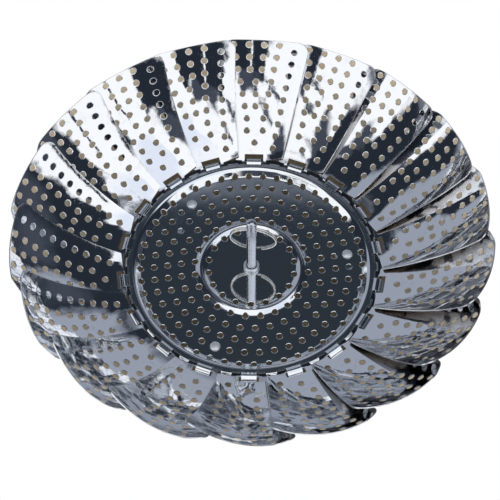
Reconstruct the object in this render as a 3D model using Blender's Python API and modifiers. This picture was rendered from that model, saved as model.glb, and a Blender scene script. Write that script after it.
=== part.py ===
"""Folding steamer basket, open. A punched and formed base plate stands on three folding
legs, eighteen punched petals hinge round its rim, and a post with a split lifting ring
stands at its centre. Metres, +Z up, feet on Z = 0, post on the Z axis, petal_01 at +Y."""

from math import asin, atan2, cos, hypot, pi, radians, sin, sqrt, tan, tau

import bmesh
import bpy
from mathutils import Vector
from mathutils.geometry import delaunay_2d_cdt

# Clearances
RUNNING_GAP = 0.0003  # between pieces that touch on the real basket
CUT_OVERRUN = 0.002
WELD_DISTANCE = 0.000001

# Sheets
PLATE_SHEET = 0.0005
PETAL_SHEET = 0.0005
BRACKET_SHEET = 0.0008
LEG_SHEET = 0.0008

# Heights
FLOOR_CLEARANCE = 0.0380  # ground to the underside of the plate's floor
SLOT_RISE = 0.0034  # top of the floor to the petals at their slots

# Punched holes, of which the solids carry a share to stay light
HOLE_DIAMETER = 0.0033
HOLE_SIDES = 4
PETAL_HOLES_PER_KEPT = 2
PLATE_HOLES_PER_KEPT = 3
FIRST_RING_RADIUS = 0.02185
LAST_RING_OFFSET = 0.00065  # from the foot of the rim out to the last ring of holes
RING_COUNT = 6
FIRST_RING_HOLES = 18
ADDED_HOLES = 6  # from one ring to the next
RIVET_RING = 4  # counted from 0
RIVET_SPOKE = 4  # lugs clockwise from +Y

# Form of the plate
BEAD_HALF_WIDTH = 0.0034
BEAD_SHOULDER = 0.0015
BEAD_HEIGHT = 0.0011
SHELF_RADIUS = 0.0598  # top of the rim's slope, which the whole rim and the petals follow
SLOPE_WIDTH = 0.0046
SHELF_WIDTH = 0.0024
SHELF_DROP = 0.0005  # petals at their slots down to the top of the shelf

# Hinge lugs and tabs of the plate
PETAL_COUNT = 18
LUG_WIDTH = 0.0074
LUG_RELIEF = 0.0006
LUG_INSET = 0.0008  # from the shelf's edge back to the root of a lug
LUG_START = radians(130)
LUG_END = radians(-150)
LUG_STEPS = 6
TAB_WIDTH = 0.0052
TAB_REACH = 0.0016
TAB_SLOPE = radians(45)

# Petals, measured along the sheet from the middle of the slot
SLOT_OFFSET = 0.0028  # from the shelf's edge out to the middle of the slots
PETAL_REACH = 0.0638
BASE_SLOPE = radians(16.5)
PROFILE_RADIUS = 0.1023
SLOT_WIDTH = 0.0098
SLOT_OUTER = 0.0024
LIP_BEND = 0.0015  # middle of the slot back to the bend of the lip
LIP_HEIGHT = 0.0018
LIP_WIDTH = 0.0126
SLOT_IN_LIP = 0.0003  # how far the slot cuts into the lip
INNER_EDGE = 0.0012
LEADING_BASE_LAP = 0.00356  # clockwise edge past the middle between two petals
LEADING_TIP_LAP = 0.00811
TRAILING_BASE_SHORT = 0.00154  # other edge short of the middle between two petals
TRAILING_TIP_SHORT = 0.00439
TIP_CORNER = 0.0050
TRAILING_CORNER = 0.0030
LEADING_START = 0.0020  # the inner edge slants out to here, to clear the plate when folded
BASE_CORNER = 0.0040
TIP_CROWN = 0.0005
EDGE_CROWN = 0.0001  # outward bow of a long edge
EDGE_STEPS = 4

# Lift of a petal's leading side over its neighbour
WING_START = 0.0040
WING_RADIUS = 0.0250
TIP_ROLL = radians(10)
TIP_CAMBER_RADIUS = 0.0500
ROLL_MIDDLE = 0.0020
CAMBER_MIDDLE = 0.0040
LIFT_BLEND = 0.0300

# Rows of holes in a petal, listed from the tip
ROW_HOLES = (4, 4, 4, 3, 3, 3, 2, 2, 1)
FIRST_ROW_INSET = 0.0033  # from the tip
LAST_ROW = 0.0089
ROW_LEFT_SHARE = 0.193  # of the way outward, to the trailing side
ROW_RIGHT_SHARE = 0.2065
LEAST_SPREAD = 0.0084
COLUMN_BASE = 0.00854  # the column of holes along the leading edge
COLUMN_SHARE = 0.2035

# Post, collar, nut and ring
POST_DIAMETER = 0.0050
POST_HEIGHT = 0.0410  # over the floor
POST_DOME = 0.0017
STEM_DIAMETER = 0.0040
STEM_TAIL = 0.0012
COLLAR_DIAMETER = 0.0080
COLLAR_HEIGHT = 0.0014
COLLAR_ROUND = 0.0005
NUT_WIDTH = 0.0070  # across its corners
NUT_HEIGHT = 0.0024
CROSS_HOLE_DROP = 0.0064  # from the post's top
CROSS_HOLE_DIAMETER = 0.0030
RING_DIAMETER = 0.0226  # to the middle of the wire
RING_WIRE = 0.0009
RING_TURN_GAP = 0.00015
RING_TURNS = 2
RING_STEPS = 18
CROSSOVER_SHARE = 0.1  # of a turn, where the wire steps from one turn to the other

# Legs and their brackets
LEG_COUNT = 3
LEG_SPLAY = radians(8)
BRACKET_LENGTH = 0.0120
BRACKET_INSIDE = 0.0072
BRACKET_CORNER = 0.0020
EAR_WIDTH = 0.0096
EAR_RADIUS = 0.0031
PIN_DROP = 0.0048  # underside of the bracket's base to the pin
PIN_OFFSET = 0.0010  # from the rivet outward to the pin
PIN_DIAMETER = 0.0020
PIN_HEAD_DIAMETER = 0.0034
PIN_HEAD_HEIGHT = 0.0007
WEB_OFFSET = 0.0020  # pin to the middle of the leg's web
EYE_RADIUS = 0.0024
EYE_LENGTH = 0.0030
HEEL_WIDTH = 0.0022
WEB_TOP = 0.0020
LEG_TOE_DEPTH = 0.0016
LEG_TOE_RISE = 0.0015
FOOT_LENGTH = 0.0058
FOOT_CORNER = 0.0018
RIVET_HEAD_DIAMETER = 0.0052
RIVET_HEAD_HEIGHT = 0.0010
RIVET_SHANK_DIAMETER = 0.0024
RIVET_TAIL_DIAMETER = 0.0042
RIVET_TAIL_HEIGHT = 0.0008

# Fineness of round work
TURN_STEPS = 16
SMALL_TURN_STEPS = 8
BORE_SIDES = 6
CORNER_STEPS = 2
DOME_STEPS = 3
BEAD_STATIONS = 24
RIM_STATIONS = 36

# Colour and roughness of the steel of each kind of piece
FINISHES = {
    "base_plate": ((0.78, 0.79, 0.81), 0.05),
    "petal": ((0.80, 0.81, 0.83), 0.06),
    "center_post": ((0.74, 0.75, 0.77), 0.16),
    "post_collar": ((0.76, 0.77, 0.79), 0.12),
    "post_nut": ((0.62, 0.63, 0.65), 0.30),
    "lifting_ring": ((0.70, 0.71, 0.73), 0.14),
    "leg": ((0.70, 0.71, 0.73), 0.22),
    "leg_bracket": ((0.68, 0.69, 0.71), 0.26),
    "leg_pin": ((0.60, 0.61, 0.63), 0.30),
    "leg_rivet": ((0.76, 0.78, 0.82), 0.18),
}

# Worked out from the values above
PETAL_STEP = tau / PETAL_COUNT
FLOOR_TOP = FLOOR_CLEARANCE + PLATE_SHEET
FLOOR_MIDDLE = FLOOR_CLEARANCE + PLATE_SHEET / 2
SLOT_LEVEL = FLOOR_TOP + SLOT_RISE
SHELF_RISE = SLOT_RISE - SHELF_DROP
RIM_FOOT_RADIUS = SHELF_RADIUS - SLOPE_WIDTH
SHELF_EDGE_RADIUS = SHELF_RADIUS + SHELF_WIDTH
SLOT_RADIUS = SHELF_EDGE_RADIUS + SLOT_OFFSET
RING_PITCH = (RIM_FOOT_RADIUS + LAST_RING_OFFSET - FIRST_RING_RADIUS) / (RING_COUNT - 1)
ROW_PITCH = (PETAL_REACH - FIRST_ROW_INSET - LAST_ROW) / (len(ROW_HOLES) - 1)
BEAD_RADIUS = FIRST_RING_RADIUS + RING_PITCH / 2
RIVET_RADIUS = FIRST_RING_RADIUS + RIVET_RING * RING_PITCH
RIVET_AZIMUTH = pi / 2 - RIVET_SPOKE * PETAL_STEP
BORE_RADIUS = STEM_DIAMETER / 2 + RUNNING_GAP
RIVET_BORE = RIVET_SHANK_DIAMETER / 2 + RUNNING_GAP
PIN_BORE = PIN_DIAMETER / 2 + RUNNING_GAP
LUG_ROOT = sqrt((SHELF_EDGE_RADIUS - LUG_INSET) ** 2 - (LUG_WIDTH / 2) ** 2)
CROSS_HOLE_LEVEL = FLOOR_TOP + POST_HEIGHT - CROSS_HOLE_DROP
PIN_RADIUS = RIVET_RADIUS + PIN_OFFSET
PIN_LEVEL = FLOOR_CLEARANCE - RUNNING_GAP - BRACKET_SHEET - PIN_DROP
EAR_BEND = (BRACKET_INSIDE + BRACKET_SHEET) / 2
WEB_HALF = BRACKET_INSIDE / 2 - RUNNING_GAP - LEG_SHEET / 2
LEG_BEND = (PIN_LEVEL - LEG_SHEET / 2 + WEB_OFFSET * sin(LEG_SPLAY)) / cos(LEG_SPLAY)


def smooth(share):
    """0 to 1, with no corner at either end."""
    share = min(max(share, 0), 1)
    return share * share * (3 - 2 * share)


def steel(name):
    """The steel of one kind of piece, of the colour and polish that it shows."""
    shade, roughness = FINISHES[name]
    material = bpy.data.materials.new(name)
    material.use_nodes = True
    shader = material.node_tree.nodes["Principled BSDF"]
    shader.inputs["Base Color"].default_value = (*shade, 1)
    shader.inputs["Metallic"].default_value = 1
    shader.inputs["Roughness"].default_value = roughness
    return material


def placed(name, data, collection):
    """A new object for a mesh or a curve, in the collection that it belongs to."""
    thing = bpy.data.objects.new(name, data)
    collection.objects.link(thing)
    return thing


def inside(loop, x, y):
    """Whether a point lies inside a closed outline."""
    found = False
    for (x0, y0), (x1, y1) in zip(loop, loop[1:] + loop[:1]):
        if (y0 > y) != (y1 > y) and x < x0 + (y - y0) / (y1 - y0) * (x1 - x0):
            found = not found
    return found


def ring_of(radius, sides, middle=(0, 0), start=0.0):
    """The corners of a regular polygon round a point."""
    turns = [start + tau * step / sides for step in range(sides)]
    return [Vector((middle[0] + radius * cos(t), middle[1] + radius * sin(t))) for t in turns]


def bore(radius, middle=(0, 0), start=0.0):
    """A hole of few sides that keeps clear of a round bar of the radius."""
    return ring_of(radius / cos(pi / BORE_SIDES), BORE_SIDES, middle, start)


def punched_hole(middle, facing):
    """A hole of few sides, which takes out as much as the round hole does."""
    radius = HOLE_DIAMETER / 2 * sqrt(tau / (HOLE_SIDES * sin(tau / HOLE_SIDES)))
    return ring_of(radius, HOLE_SIDES, middle, facing + pi / HOLE_SIDES)


def rounded(corners):
    """An outline of (x, y, radius) corners with arcs in place of its corners."""
    loop = []
    for before, corner, after in zip(corners[-1:] + corners[:-1], corners, corners[1:] + corners[:1]):
        here = Vector(corner[:2])
        if not corner[2]:
            loop.append(here)
            continue
        back = (Vector(before[:2]) - here).normalized()
        forth = (Vector(after[:2]) - here).normalized()
        half = back.angle(forth) / 2
        middle = here + (back + forth).normalized() * corner[2] / sin(half)
        spoke = here + back * corner[2] / tan(half) - middle
        turn = pi - 2 * half
        if back.x * forth.y - back.y * forth.x > 0:
            turn = -turn
        first = atan2(spoke.y, spoke.x)
        for step in range(CORNER_STEPS + 1):
            t = first + turn * step / CORNER_STEPS
            loop.append(middle + corner[2] * Vector((cos(t), sin(t))))
    return loop


def blank(outline, holes, circles=(), scores=()):
    """The flat sheet as the press cuts it, in triangles that keep to the lines it bends along."""
    points = []
    edges = []
    for loop in (outline, *holes, *circles):
        first = len(points)
        points += loop
        edges += [(first + i, first + (i + 1) % len(loop)) for i in range(len(loop))]
    for line in scores:
        edges.append((len(points), len(points) + 1))
        points += line
    corners, _, triangles = delaunay_2d_cdt(points, edges, [], 0, WELD_DISTANCE)[:3]
    kept = []
    for triangle in triangles:
        x, y = sum((corners[i] for i in triangle), Vector((0, 0))) / 3
        if inside(outline, x, y) and not any(inside(hole, x, y) for hole in holes):
            kept.append(triangle)
    return corners, kept


def pressed(kind, flat, form):
    """The mesh of a blank bent to its form, as the middle of the sheet."""
    corners, triangles = flat
    mesh = bpy.data.meshes.new(kind)
    mesh.from_pydata([form(x, y) for x, y in corners], [], triangles)
    mesh.materials.append(steel(kind))
    return mesh


def sheet(name, mesh, thickness, collection):
    """An object of sheet metal, from a pressed mesh."""
    thing = placed(name, mesh, collection)
    solid = thing.modifiers.new("Sheet", "SOLIDIFY")
    solid.thickness = thickness
    solid.offset = 0
    solid.use_even_offset = True
    solid.use_quality_normals = True
    return thing


def profile_mesh(kind, profile, bored=False):
    """The profile of a turned piece, which runs down the outside and, if bored, up the bore."""
    mesh = bpy.data.meshes.new(kind)
    edges = [(i, i + 1) for i in range(len(profile) - 1)]
    if bored:
        edges.append((len(profile) - 1, 0))
    mesh.from_pydata([(radius, 0, height) for radius, height in profile], edges, [])
    mesh.materials.append(steel(kind))
    return mesh


def turned(name, mesh, steps, collection):
    """A turned piece from the mesh of its profile."""
    thing = placed(name, mesh, collection)
    screw = thing.modifiers.new("Turning", "SCREW")
    screw.steps = steps
    screw.render_steps = steps
    screw.use_merge_vertices = True
    screw.merge_threshold = WELD_DISTANCE
    return thing


def dome(radius, top, height):
    """The rounded end of a turned piece, from its top down to its full radius."""
    turns = [pi / 2 * step / DOME_STEPS for step in range(DOME_STEPS + 1)]
    return [(radius * sin(t), top - height * (1 - cos(t))) for t in turns]


def petal_profile(along):
    """Radius, height over the slots and slope of a petal's middle, along the sheet."""
    slope = BASE_SLOPE + along / PROFILE_RADIUS
    radius = SLOT_RADIUS + PROFILE_RADIUS * (sin(slope) - sin(BASE_SLOPE))
    return radius, PROFILE_RADIUS * (cos(BASE_SLOPE) - cos(slope)), slope


def half_pitch(along):
    """Half the way round from one petal to the next."""
    return PETAL_STEP / 2 * petal_profile(along)[0]


LEADING_BASE = half_pitch(0) + LEADING_BASE_LAP
LEADING_TIP = half_pitch(PETAL_REACH) + LEADING_TIP_LAP
TRAILING_BASE = half_pitch(0) - TRAILING_BASE_SHORT
TRAILING_TIP = half_pitch(PETAL_REACH) - TRAILING_TIP_SHORT
HINGE_RADIUS = petal_profile(-LIP_BEND)[0]
HINGE_LEVEL = SLOT_LEVEL + petal_profile(-LIP_BEND)[1] - (LIP_HEIGHT + SLOT_IN_LIP) / 2


def petal_lift(across, along):
    """How far the sheet stands up from the petal's middle profile, square to it."""
    wing = max(0, across - WING_START) ** 2 / (2 * WING_RADIUS)
    roll = tan(TIP_ROLL) * (across - ROLL_MIDDLE)
    camber = (across - CAMBER_MIDDLE) ** 2 / (2 * TIP_CAMBER_RADIUS)
    share = smooth(along / LIFT_BLEND)
    return wing * (1 - share) + (roll + camber) * share


def petal_form(across, along):
    """A point of the petal's blank where pressing puts it, from the middle of its hinge."""
    bent = max(along, -LIP_BEND)
    radius, height, slope = petal_profile(bent)
    lift = petal_lift(across, bent)
    level = SLOT_LEVEL + height + lift * cos(slope) - (bent - along)
    return across, radius - lift * sin(slope) - HINGE_RADIUS, level - HINGE_LEVEL


def long_edge(base, tip, along):
    """How far aside of the slot's middle a long edge lies."""
    share = along / PETAL_REACH
    return base + (tip - base) * share + EDGE_CROWN * sin(pi * share)


def leading(along):
    """The petal's clockwise edge, which lies on its neighbour."""
    return long_edge(LEADING_BASE, LEADING_TIP, along)


def trailing(along):
    """The petal's other edge, under its other neighbour."""
    return -long_edge(TRAILING_BASE, TRAILING_TIP, along)


def petal_outline():
    """The petal's blank, from the lip of its hinge round to the tip and back."""
    lip = LIP_WIDTH / 2
    steps = [PETAL_REACH * step / EDGE_STEPS for step in range(1, EDGE_STEPS)]
    corners = [(-lip, -LIP_BEND - LIP_HEIGHT, 0), (lip, -LIP_BEND - LIP_HEIGHT, 0)]
    corners += [(lip, -LIP_BEND, 0), (lip, -INNER_EDGE, 0)]
    corners.append((leading(LEADING_START), LEADING_START, BASE_CORNER))
    corners += [(leading(along), along, 0) for along in steps]
    corners.append((leading(PETAL_REACH), PETAL_REACH, TIP_CORNER))
    middle = (leading(PETAL_REACH) + trailing(PETAL_REACH)) / 2
    corners.append((middle, PETAL_REACH + TIP_CROWN, 0))
    corners.append((trailing(PETAL_REACH), PETAL_REACH, TRAILING_CORNER))
    corners += [(trailing(along), along, 0) for along in reversed(steps)]
    corners += [(trailing(-INNER_EDGE), -INNER_EDGE, TRAILING_CORNER)]
    corners += [(-lip, -INNER_EDGE, 0), (-lip, -LIP_BEND, 0)]
    return rounded(corners)


def petal_hole_places():
    """The middle of each hole in a petal, with its row and its place in the row."""
    places = []
    for row, count in enumerate(ROW_HOLES):
        along = LAST_ROW + (len(ROW_HOLES) - 1 - row) * ROW_PITCH
        middle = (ROW_RIGHT_SHARE - ROW_LEFT_SHARE) * along / 2
        spread = max((ROW_RIGHT_SHARE + ROW_LEFT_SHARE) * along, LEAST_SPREAD)
        for place in range(count):
            share = place / (count - 1) - 0.5 if count > 1 else 0
            places.append((middle + spread * share, along, row, place))
        edge_along = along - ROW_PITCH / 2
        places.append((COLUMN_BASE + COLUMN_SHARE * edge_along, edge_along, row, count))
    return places


def petal_mesh():
    """One petal, punched and pressed; the eighteen are alike."""
    slot, lip = SLOT_WIDTH / 2, LIP_WIDTH / 2
    inner = -LIP_BEND - SLOT_IN_LIP
    holes = [[Vector((-slot, inner)), Vector((slot, inner))]]
    holes[0] += [Vector((slot, SLOT_OUTER)), Vector((-slot, SLOT_OUTER))]
    for across, along, row, place in petal_hole_places():
        if (row + place) % PETAL_HOLES_PER_KEPT:
            holes.append(punched_hole((across, along), 0))
    scores = [[Vector((side * lip, -LIP_BEND)), Vector((side * slot, -LIP_BEND))] for side in (-1, 1)]
    return pressed("petal", blank(petal_outline(), holes, scores=scores), petal_form)


def petals(collection):
    """The petals, each with its origin on its hinge, clockwise from +Y."""
    mesh = petal_mesh()
    for number in range(PETAL_COUNT):
        petal = sheet(f"petal_{number + 1:02d}", mesh, PETAL_SHEET, collection)
        azimuth = pi / 2 - number * PETAL_STEP
        petal.location = (HINGE_RADIUS * cos(azimuth), HINGE_RADIUS * sin(azimuth), HINGE_LEVEL)
        petal.rotation_euler.z = azimuth - pi / 2


def lug_path():
    """Radius and height of a lug from its root on the shelf, over the petal's bar and under it."""
    bar = hypot(LIP_HEIGHT - SLOT_IN_LIP, PETAL_SHEET) / 2
    step = (LUG_END - LUG_START) / LUG_STEPS
    radius = (bar + RUNNING_GAP + PLATE_SHEET / 2) / cos(step / 2)
    path = [(LUG_ROOT, FLOOR_MIDDLE + SHELF_RISE)]
    for number in range(LUG_STEPS + 1):
        t = LUG_START + number * step
        path.append((HINGE_RADIUS + radius * cos(t), HINGE_LEVEL + radius * sin(t)))
    return path


def lug_lengths():
    """How far along the blank each corner of the lug's path lies from its root."""
    path = lug_path()
    lengths = [0]
    for (r0, z0), (r1, z1) in zip(path, path[1:]):
        lengths.append(lengths[-1] + hypot(r1 - r0, z1 - z0))
    return lengths


def plate_height(radius):
    """Height of the plate's middle: floor, bead round the post, slope and shelf."""
    bead = cos(pi / 2 * min(abs(radius - BEAD_RADIUS) / BEAD_HALF_WIDTH, 1)) ** 2
    rise = (radius - RIM_FOOT_RADIUS) / (SHELF_RADIUS - RIM_FOOT_RADIUS)
    return FLOOR_MIDDLE + BEAD_HEIGHT * bead + SHELF_RISE * min(max(rise, 0), 1)


def along_spoke(radius, azimuth, step, offset):
    """How far out and how far aside a point lies from the nearest of the evenly set spokes."""
    turn = (azimuth - offset + step / 2) % step - step / 2
    return radius * cos(turn), radius * sin(turn), azimuth - turn


def plate_form(x, y):
    """A point of the plate's blank where pressing and curling put it."""
    radius, azimuth = hypot(x, y), atan2(y, x)
    out, aside, spoke = along_spoke(radius, azimuth, PETAL_STEP, pi / 2)
    if out > LUG_ROOT + WELD_DISTANCE and abs(aside) < (LUG_WIDTH + LUG_RELIEF) / 2:
        path, lengths = lug_path(), lug_lengths()
        nearest = min(range(len(lengths)), key=lambda i: abs(lengths[i] - (out - LUG_ROOT)))
        out, height = path[nearest]
        return out * cos(spoke) - aside * sin(spoke), out * sin(spoke) + aside * cos(spoke), height
    height = plate_height(radius)
    extra = radius - SHELF_EDGE_RADIUS
    if extra > TAB_REACH / 2:
        shrunk = (SHELF_EDGE_RADIUS + extra * cos(TAB_SLOPE)) / radius
        return x * shrunk, y * shrunk, height - extra * sin(TAB_SLOPE)
    return x, y, height


def spoke_point(out, aside, spoke):
    """A flat point from how far it lies out along a spoke and aside of it."""
    return Vector((out * cos(spoke) - aside * sin(spoke), out * sin(spoke) + aside * cos(spoke)))


def on_shelf_edge(aside):
    """How far out the shelf's edge is at a distance aside of a spoke."""
    return sqrt(SHELF_EDGE_RADIUS ** 2 - aside ** 2)


def plate_outline():
    """The rim of the blank: a straight lug and a short tab in turn."""
    loop = []
    half, notch, tab = LUG_WIDTH / 2, LUG_WIDTH / 2 + LUG_RELIEF, TAB_WIDTH / 2
    reaches = [LUG_ROOT + length for length in lug_lengths()]
    for number in range(PETAL_COUNT):
        spoke = pi / 2 + number * PETAL_STEP
        loop += [spoke_point(on_shelf_edge(notch), -notch, spoke), spoke_point(LUG_ROOT, -notch, spoke)]
        loop += [spoke_point(out, -half, spoke) for out in reaches]
        loop += [spoke_point(out, half, spoke) for out in reversed(reaches)]
        loop += [spoke_point(LUG_ROOT, notch, spoke), spoke_point(on_shelf_edge(notch), notch, spoke)]
        spoke += PETAL_STEP / 2
        for aside, extra in ((-tab, 0), (-tab, TAB_REACH), (tab, TAB_REACH), (tab, 0)):
            loop.append(spoke_point(on_shelf_edge(tab) + extra, aside, spoke))
    return loop


def plate_holes():
    """The bore for the post, the rings of punched holes and the bores for the rivets."""
    holes = [bore(BORE_RADIUS)]
    for ring in range(RING_COUNT):
        radius = FIRST_RING_RADIUS + ring * RING_PITCH
        count = FIRST_RING_HOLES + ring * ADDED_HOLES
        for place in range(count):
            azimuth = RIVET_AZIMUTH + tau * place / count
            middle = (radius * cos(azimuth), radius * sin(azimuth))
            if ring == RIVET_RING and place % (count // LEG_COUNT) == 0:
                holes.append(bore(RIVET_BORE, middle, azimuth))
            elif (ring + place) % PLATE_HOLES_PER_KEPT == 0:
                holes.append(punched_hole(middle, azimuth))
    return holes


def base_plate(collection):
    """The plate: one stamping with its floor, bead, stepped rim, lugs and tabs."""
    beads = [BEAD_RADIUS + side * BEAD_SHOULDER for side in (-1, 0, 1)]
    circles = [ring_of(radius, BEAD_STATIONS) for radius in beads]
    circles += [ring_of(radius, RIM_STATIONS) for radius in (RIM_FOOT_RADIUS, SHELF_RADIUS)]
    mesh = pressed("base_plate", blank(plate_outline(), plate_holes(), circles), plate_form)
    sheet("base_plate", mesh, PLATE_SHEET, collection)


def cut(thing, cutter, cutters):
    """Cut one solid from another, and keep the cutter apart as a guide."""
    cutters.objects.link(cutter)
    cutter.hide_render = True
    cutter.display_type = "WIRE"
    boolean = thing.modifiers.new("Cut", "BOOLEAN")
    boolean.object = cutter
    boolean.solver = "EXACT"


def rod_along_x(name, radius, length, sides):
    """A plain round bar across the part, as a cutter."""
    mesh = bpy.data.meshes.new(name)
    form = bmesh.new()
    bmesh.ops.create_cone(
        form, cap_ends=True, segments=sides, radius1=radius, radius2=radius, depth=length
    )
    form.to_mesh(mesh)
    form.free()
    rod = bpy.data.objects.new(name, mesh)
    rod.rotation_euler.y = pi / 2
    return rod


def center_post(collection, cutters):
    """The post: a domed rod with a cross hole, on a thinner stem through the plate."""
    rod, stem = POST_DIAMETER / 2, STEM_DIAMETER / 2
    tail = FLOOR_CLEARANCE - RUNNING_GAP - NUT_HEIGHT - STEM_TAIL
    profile = dome(rod, FLOOR_TOP + POST_HEIGHT, POST_DOME)
    profile += [(rod, FLOOR_TOP + RUNNING_GAP), (stem, FLOOR_TOP + RUNNING_GAP), (stem, tail), (0, tail)]
    post = turned("center_post", profile_mesh("center_post", profile), TURN_STEPS, collection)
    length = POST_DIAMETER + CUT_OVERRUN
    drill = rod_along_x("cross_hole", CROSS_HOLE_DIAMETER / 2, length, TURN_STEPS)
    drill.location.z = CROSS_HOLE_LEVEL
    cut(post, drill, cutters)


def post_collar(collection):
    """The round collar at the foot of the post."""
    outer, inner = COLLAR_DIAMETER / 2, POST_DIAMETER / 2 + RUNNING_GAP
    foot = FLOOR_TOP + RUNNING_GAP
    top = foot + COLLAR_HEIGHT
    profile = [(outer - COLLAR_ROUND, top), (outer, top - COLLAR_ROUND), (outer, foot)]
    profile += [(inner, foot), (inner, top)]
    turned("post_collar", profile_mesh("post_collar", profile, True), TURN_STEPS, collection)


def post_nut(collection):
    """The hexagon nut on the stem, under the plate."""
    curve = bpy.data.curves.new("post_nut", "CURVE")
    curve.dimensions = "2D"
    curve.fill_mode = "BOTH"
    curve.extrude = NUT_HEIGHT / 2
    curve.materials.append(steel("post_nut"))
    for loop in (ring_of(NUT_WIDTH / 2, BORE_SIDES), bore(BORE_RADIUS)):
        spline = curve.splines.new("POLY")
        spline.use_cyclic_u = True
        spline.points.add(len(loop) - 1)
        for point, (x, y) in zip(spline.points, loop):
            point.co = (x, y, 0, 1)
    nut = placed("post_nut", curve, collection)
    nut.location.z = FLOOR_CLEARANCE - RUNNING_GAP - NUT_HEIGHT / 2


def ring_point(turn):
    """A point of the split ring's wire, from the cross hole, with the ring hanging straight down."""
    beside = (RING_WIRE + RING_TURN_GAP) / 2
    middle = RING_TURNS / 2
    step = smooth((turn - middle) / CROSSOVER_SHARE + 0.5)
    azimuth = tau * turn - pi / 2
    radius = RING_DIAMETER / 2
    return (radius * cos(azimuth), beside * (2 * step - 1), radius * sin(azimuth) - radius)


def lifting_ring(collection):
    """The split ring: two turns of wire side by side, hanging behind the post from its hole."""
    curve = bpy.data.curves.new("lifting_ring", "CURVE")
    curve.dimensions = "3D"
    curve.bevel_depth = RING_WIRE / 2
    curve.bevel_resolution = 1
    curve.use_fill_caps = True
    curve.materials.append(steel("lifting_ring"))
    spline = curve.splines.new("POLY")
    first, last = CROSSOVER_SHARE / 2, RING_TURNS - CROSSOVER_SHARE / 2
    count = RING_TURNS * RING_STEPS
    spline.points.add(count)
    for number, point in enumerate(spline.points):
        point.co = (*ring_point(first + (last - first) * number / count), 1)
    ring = placed("lifting_ring", curve, collection)
    ring.location.z = CROSS_HOLE_LEVEL
    stand_off = POST_DIAMETER / 2 + RUNNING_GAP + RING_WIRE + RING_TURN_GAP / 2
    ring.rotation_euler.x = asin(stand_off / RING_DIAMETER)


def spoke_empty(name, azimuth, radius, level, collection):
    """A frame with +Y outward, which carries what is fastened at one spoke of the plate."""
    frame = placed(name, None, collection)
    frame.location = (radius * cos(azimuth), radius * sin(azimuth), level)
    frame.rotation_euler.z = azimuth - pi / 2
    return frame


def bracket_form(x, y):
    """The bracket's blank folded: a base under the floor, and two ears down to the pin."""
    base = PIN_DROP + BRACKET_SHEET / 2
    if abs(x) <= EAR_BEND + WELD_DISTANCE:
        return x, y, base
    return (EAR_BEND if x > 0 else -EAR_BEND), y, base - (abs(x) - EAR_BEND)


def bracket_mesh():
    """One bracket, from a blank with a rounded base, two ears and their bores."""
    pin = EAR_BEND + PIN_DROP + BRACKET_SHEET / 2
    back, front = -PIN_OFFSET - BRACKET_LENGTH / 2, -PIN_OFFSET + BRACKET_LENGTH / 2
    ear = EAR_WIDTH / 2
    right = [(EAR_BEND, back, BRACKET_CORNER), (EAR_BEND, -ear, 0)]
    right += [(pin + EAR_RADIUS, -EAR_RADIUS, EAR_RADIUS), (pin + EAR_RADIUS, EAR_RADIUS, EAR_RADIUS)]
    right += [(EAR_BEND, ear, 0), (EAR_BEND, front, BRACKET_CORNER)]
    left = [(-x, y, radius) for x, y, radius in reversed(right)]
    holes = [bore(RIVET_BORE, (0, -PIN_OFFSET))]
    holes += [bore(PIN_BORE, (side * pin, 0)) for side in (-1, 1)]
    scores = [[Vector((side * EAR_BEND, -ear)), Vector((side * EAR_BEND, ear))] for side in (-1, 1)]
    return pressed("leg_bracket", blank(rounded(right + left), holes, scores=scores), bracket_form)


def leg_form(x, along):
    """The leg's blank folded: a web, a flange at each side and a foot turned out at the end."""
    out = WEB_OFFSET
    if abs(x) > WEB_HALF:
        out -= abs(x) - WEB_HALF
        x = WEB_HALF if x > 0 else -WEB_HALF
    toe = max(0, -LEG_BEND - along)
    return x, out + toe * cos(LEG_SPLAY), max(along, -LEG_BEND) - toe * sin(LEG_SPLAY)


def leg_mesh():
    """One leg: the flanges carry the eyes for the pin and the heels that meet the bracket."""
    pin = WEB_HALF + WEB_OFFSET
    heel = (PIN_DROP - RUNNING_GAP) / cos(LEG_SPLAY)
    right = [(WEB_HALF, -LEG_BEND - FOOT_LENGTH, FOOT_CORNER), (WEB_HALF, -LEG_BEND, 0)]
    right += [(WEB_HALF, LEG_TOE_RISE - LEG_BEND, 0)]
    right += [(WEB_HALF + LEG_TOE_DEPTH, 2 * LEG_TOE_RISE - LEG_BEND, 0)]
    right += [(pin + EYE_RADIUS, -EYE_LENGTH, 0), (pin + EYE_RADIUS, EYE_RADIUS, EYE_RADIUS)]
    right += [(WEB_HALF + HEEL_WIDTH, heel, 0), (WEB_HALF, heel - WEB_OFFSET * tan(LEG_SPLAY), 0)]
    right += [(WEB_HALF, WEB_TOP, 0)]
    left = [(-x, y, radius) for x, y, radius in reversed(right)]
    holes = [bore(PIN_BORE, (side * pin, 0)) for side in (-1, 1)]
    scores = [[Vector((-WEB_HALF, -LEG_BEND)), Vector((WEB_HALF, -LEG_BEND))]]
    low, high = LEG_TOE_RISE - LEG_BEND, WEB_TOP
    scores += [[Vector((side * WEB_HALF, low)), Vector((side * WEB_HALF, high))] for side in (-1, 1)]
    return pressed("leg", blank(rounded(right + left), holes, scores=scores), leg_form)


def pin_mesh():
    """The profile of a leg's pin, headed at both ends, outside the bracket's ears."""
    shank, head = PIN_DIAMETER / 2, PIN_HEAD_DIAMETER / 2
    inner = BRACKET_INSIDE / 2 + BRACKET_SHEET + RUNNING_GAP
    outer = inner + PIN_HEAD_HEIGHT
    profile = [(0, outer), (head, outer), (head, inner), (shank, inner)]
    profile += [(radius, -height) for radius, height in reversed(profile)]
    return profile_mesh("leg_pin", profile)


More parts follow.
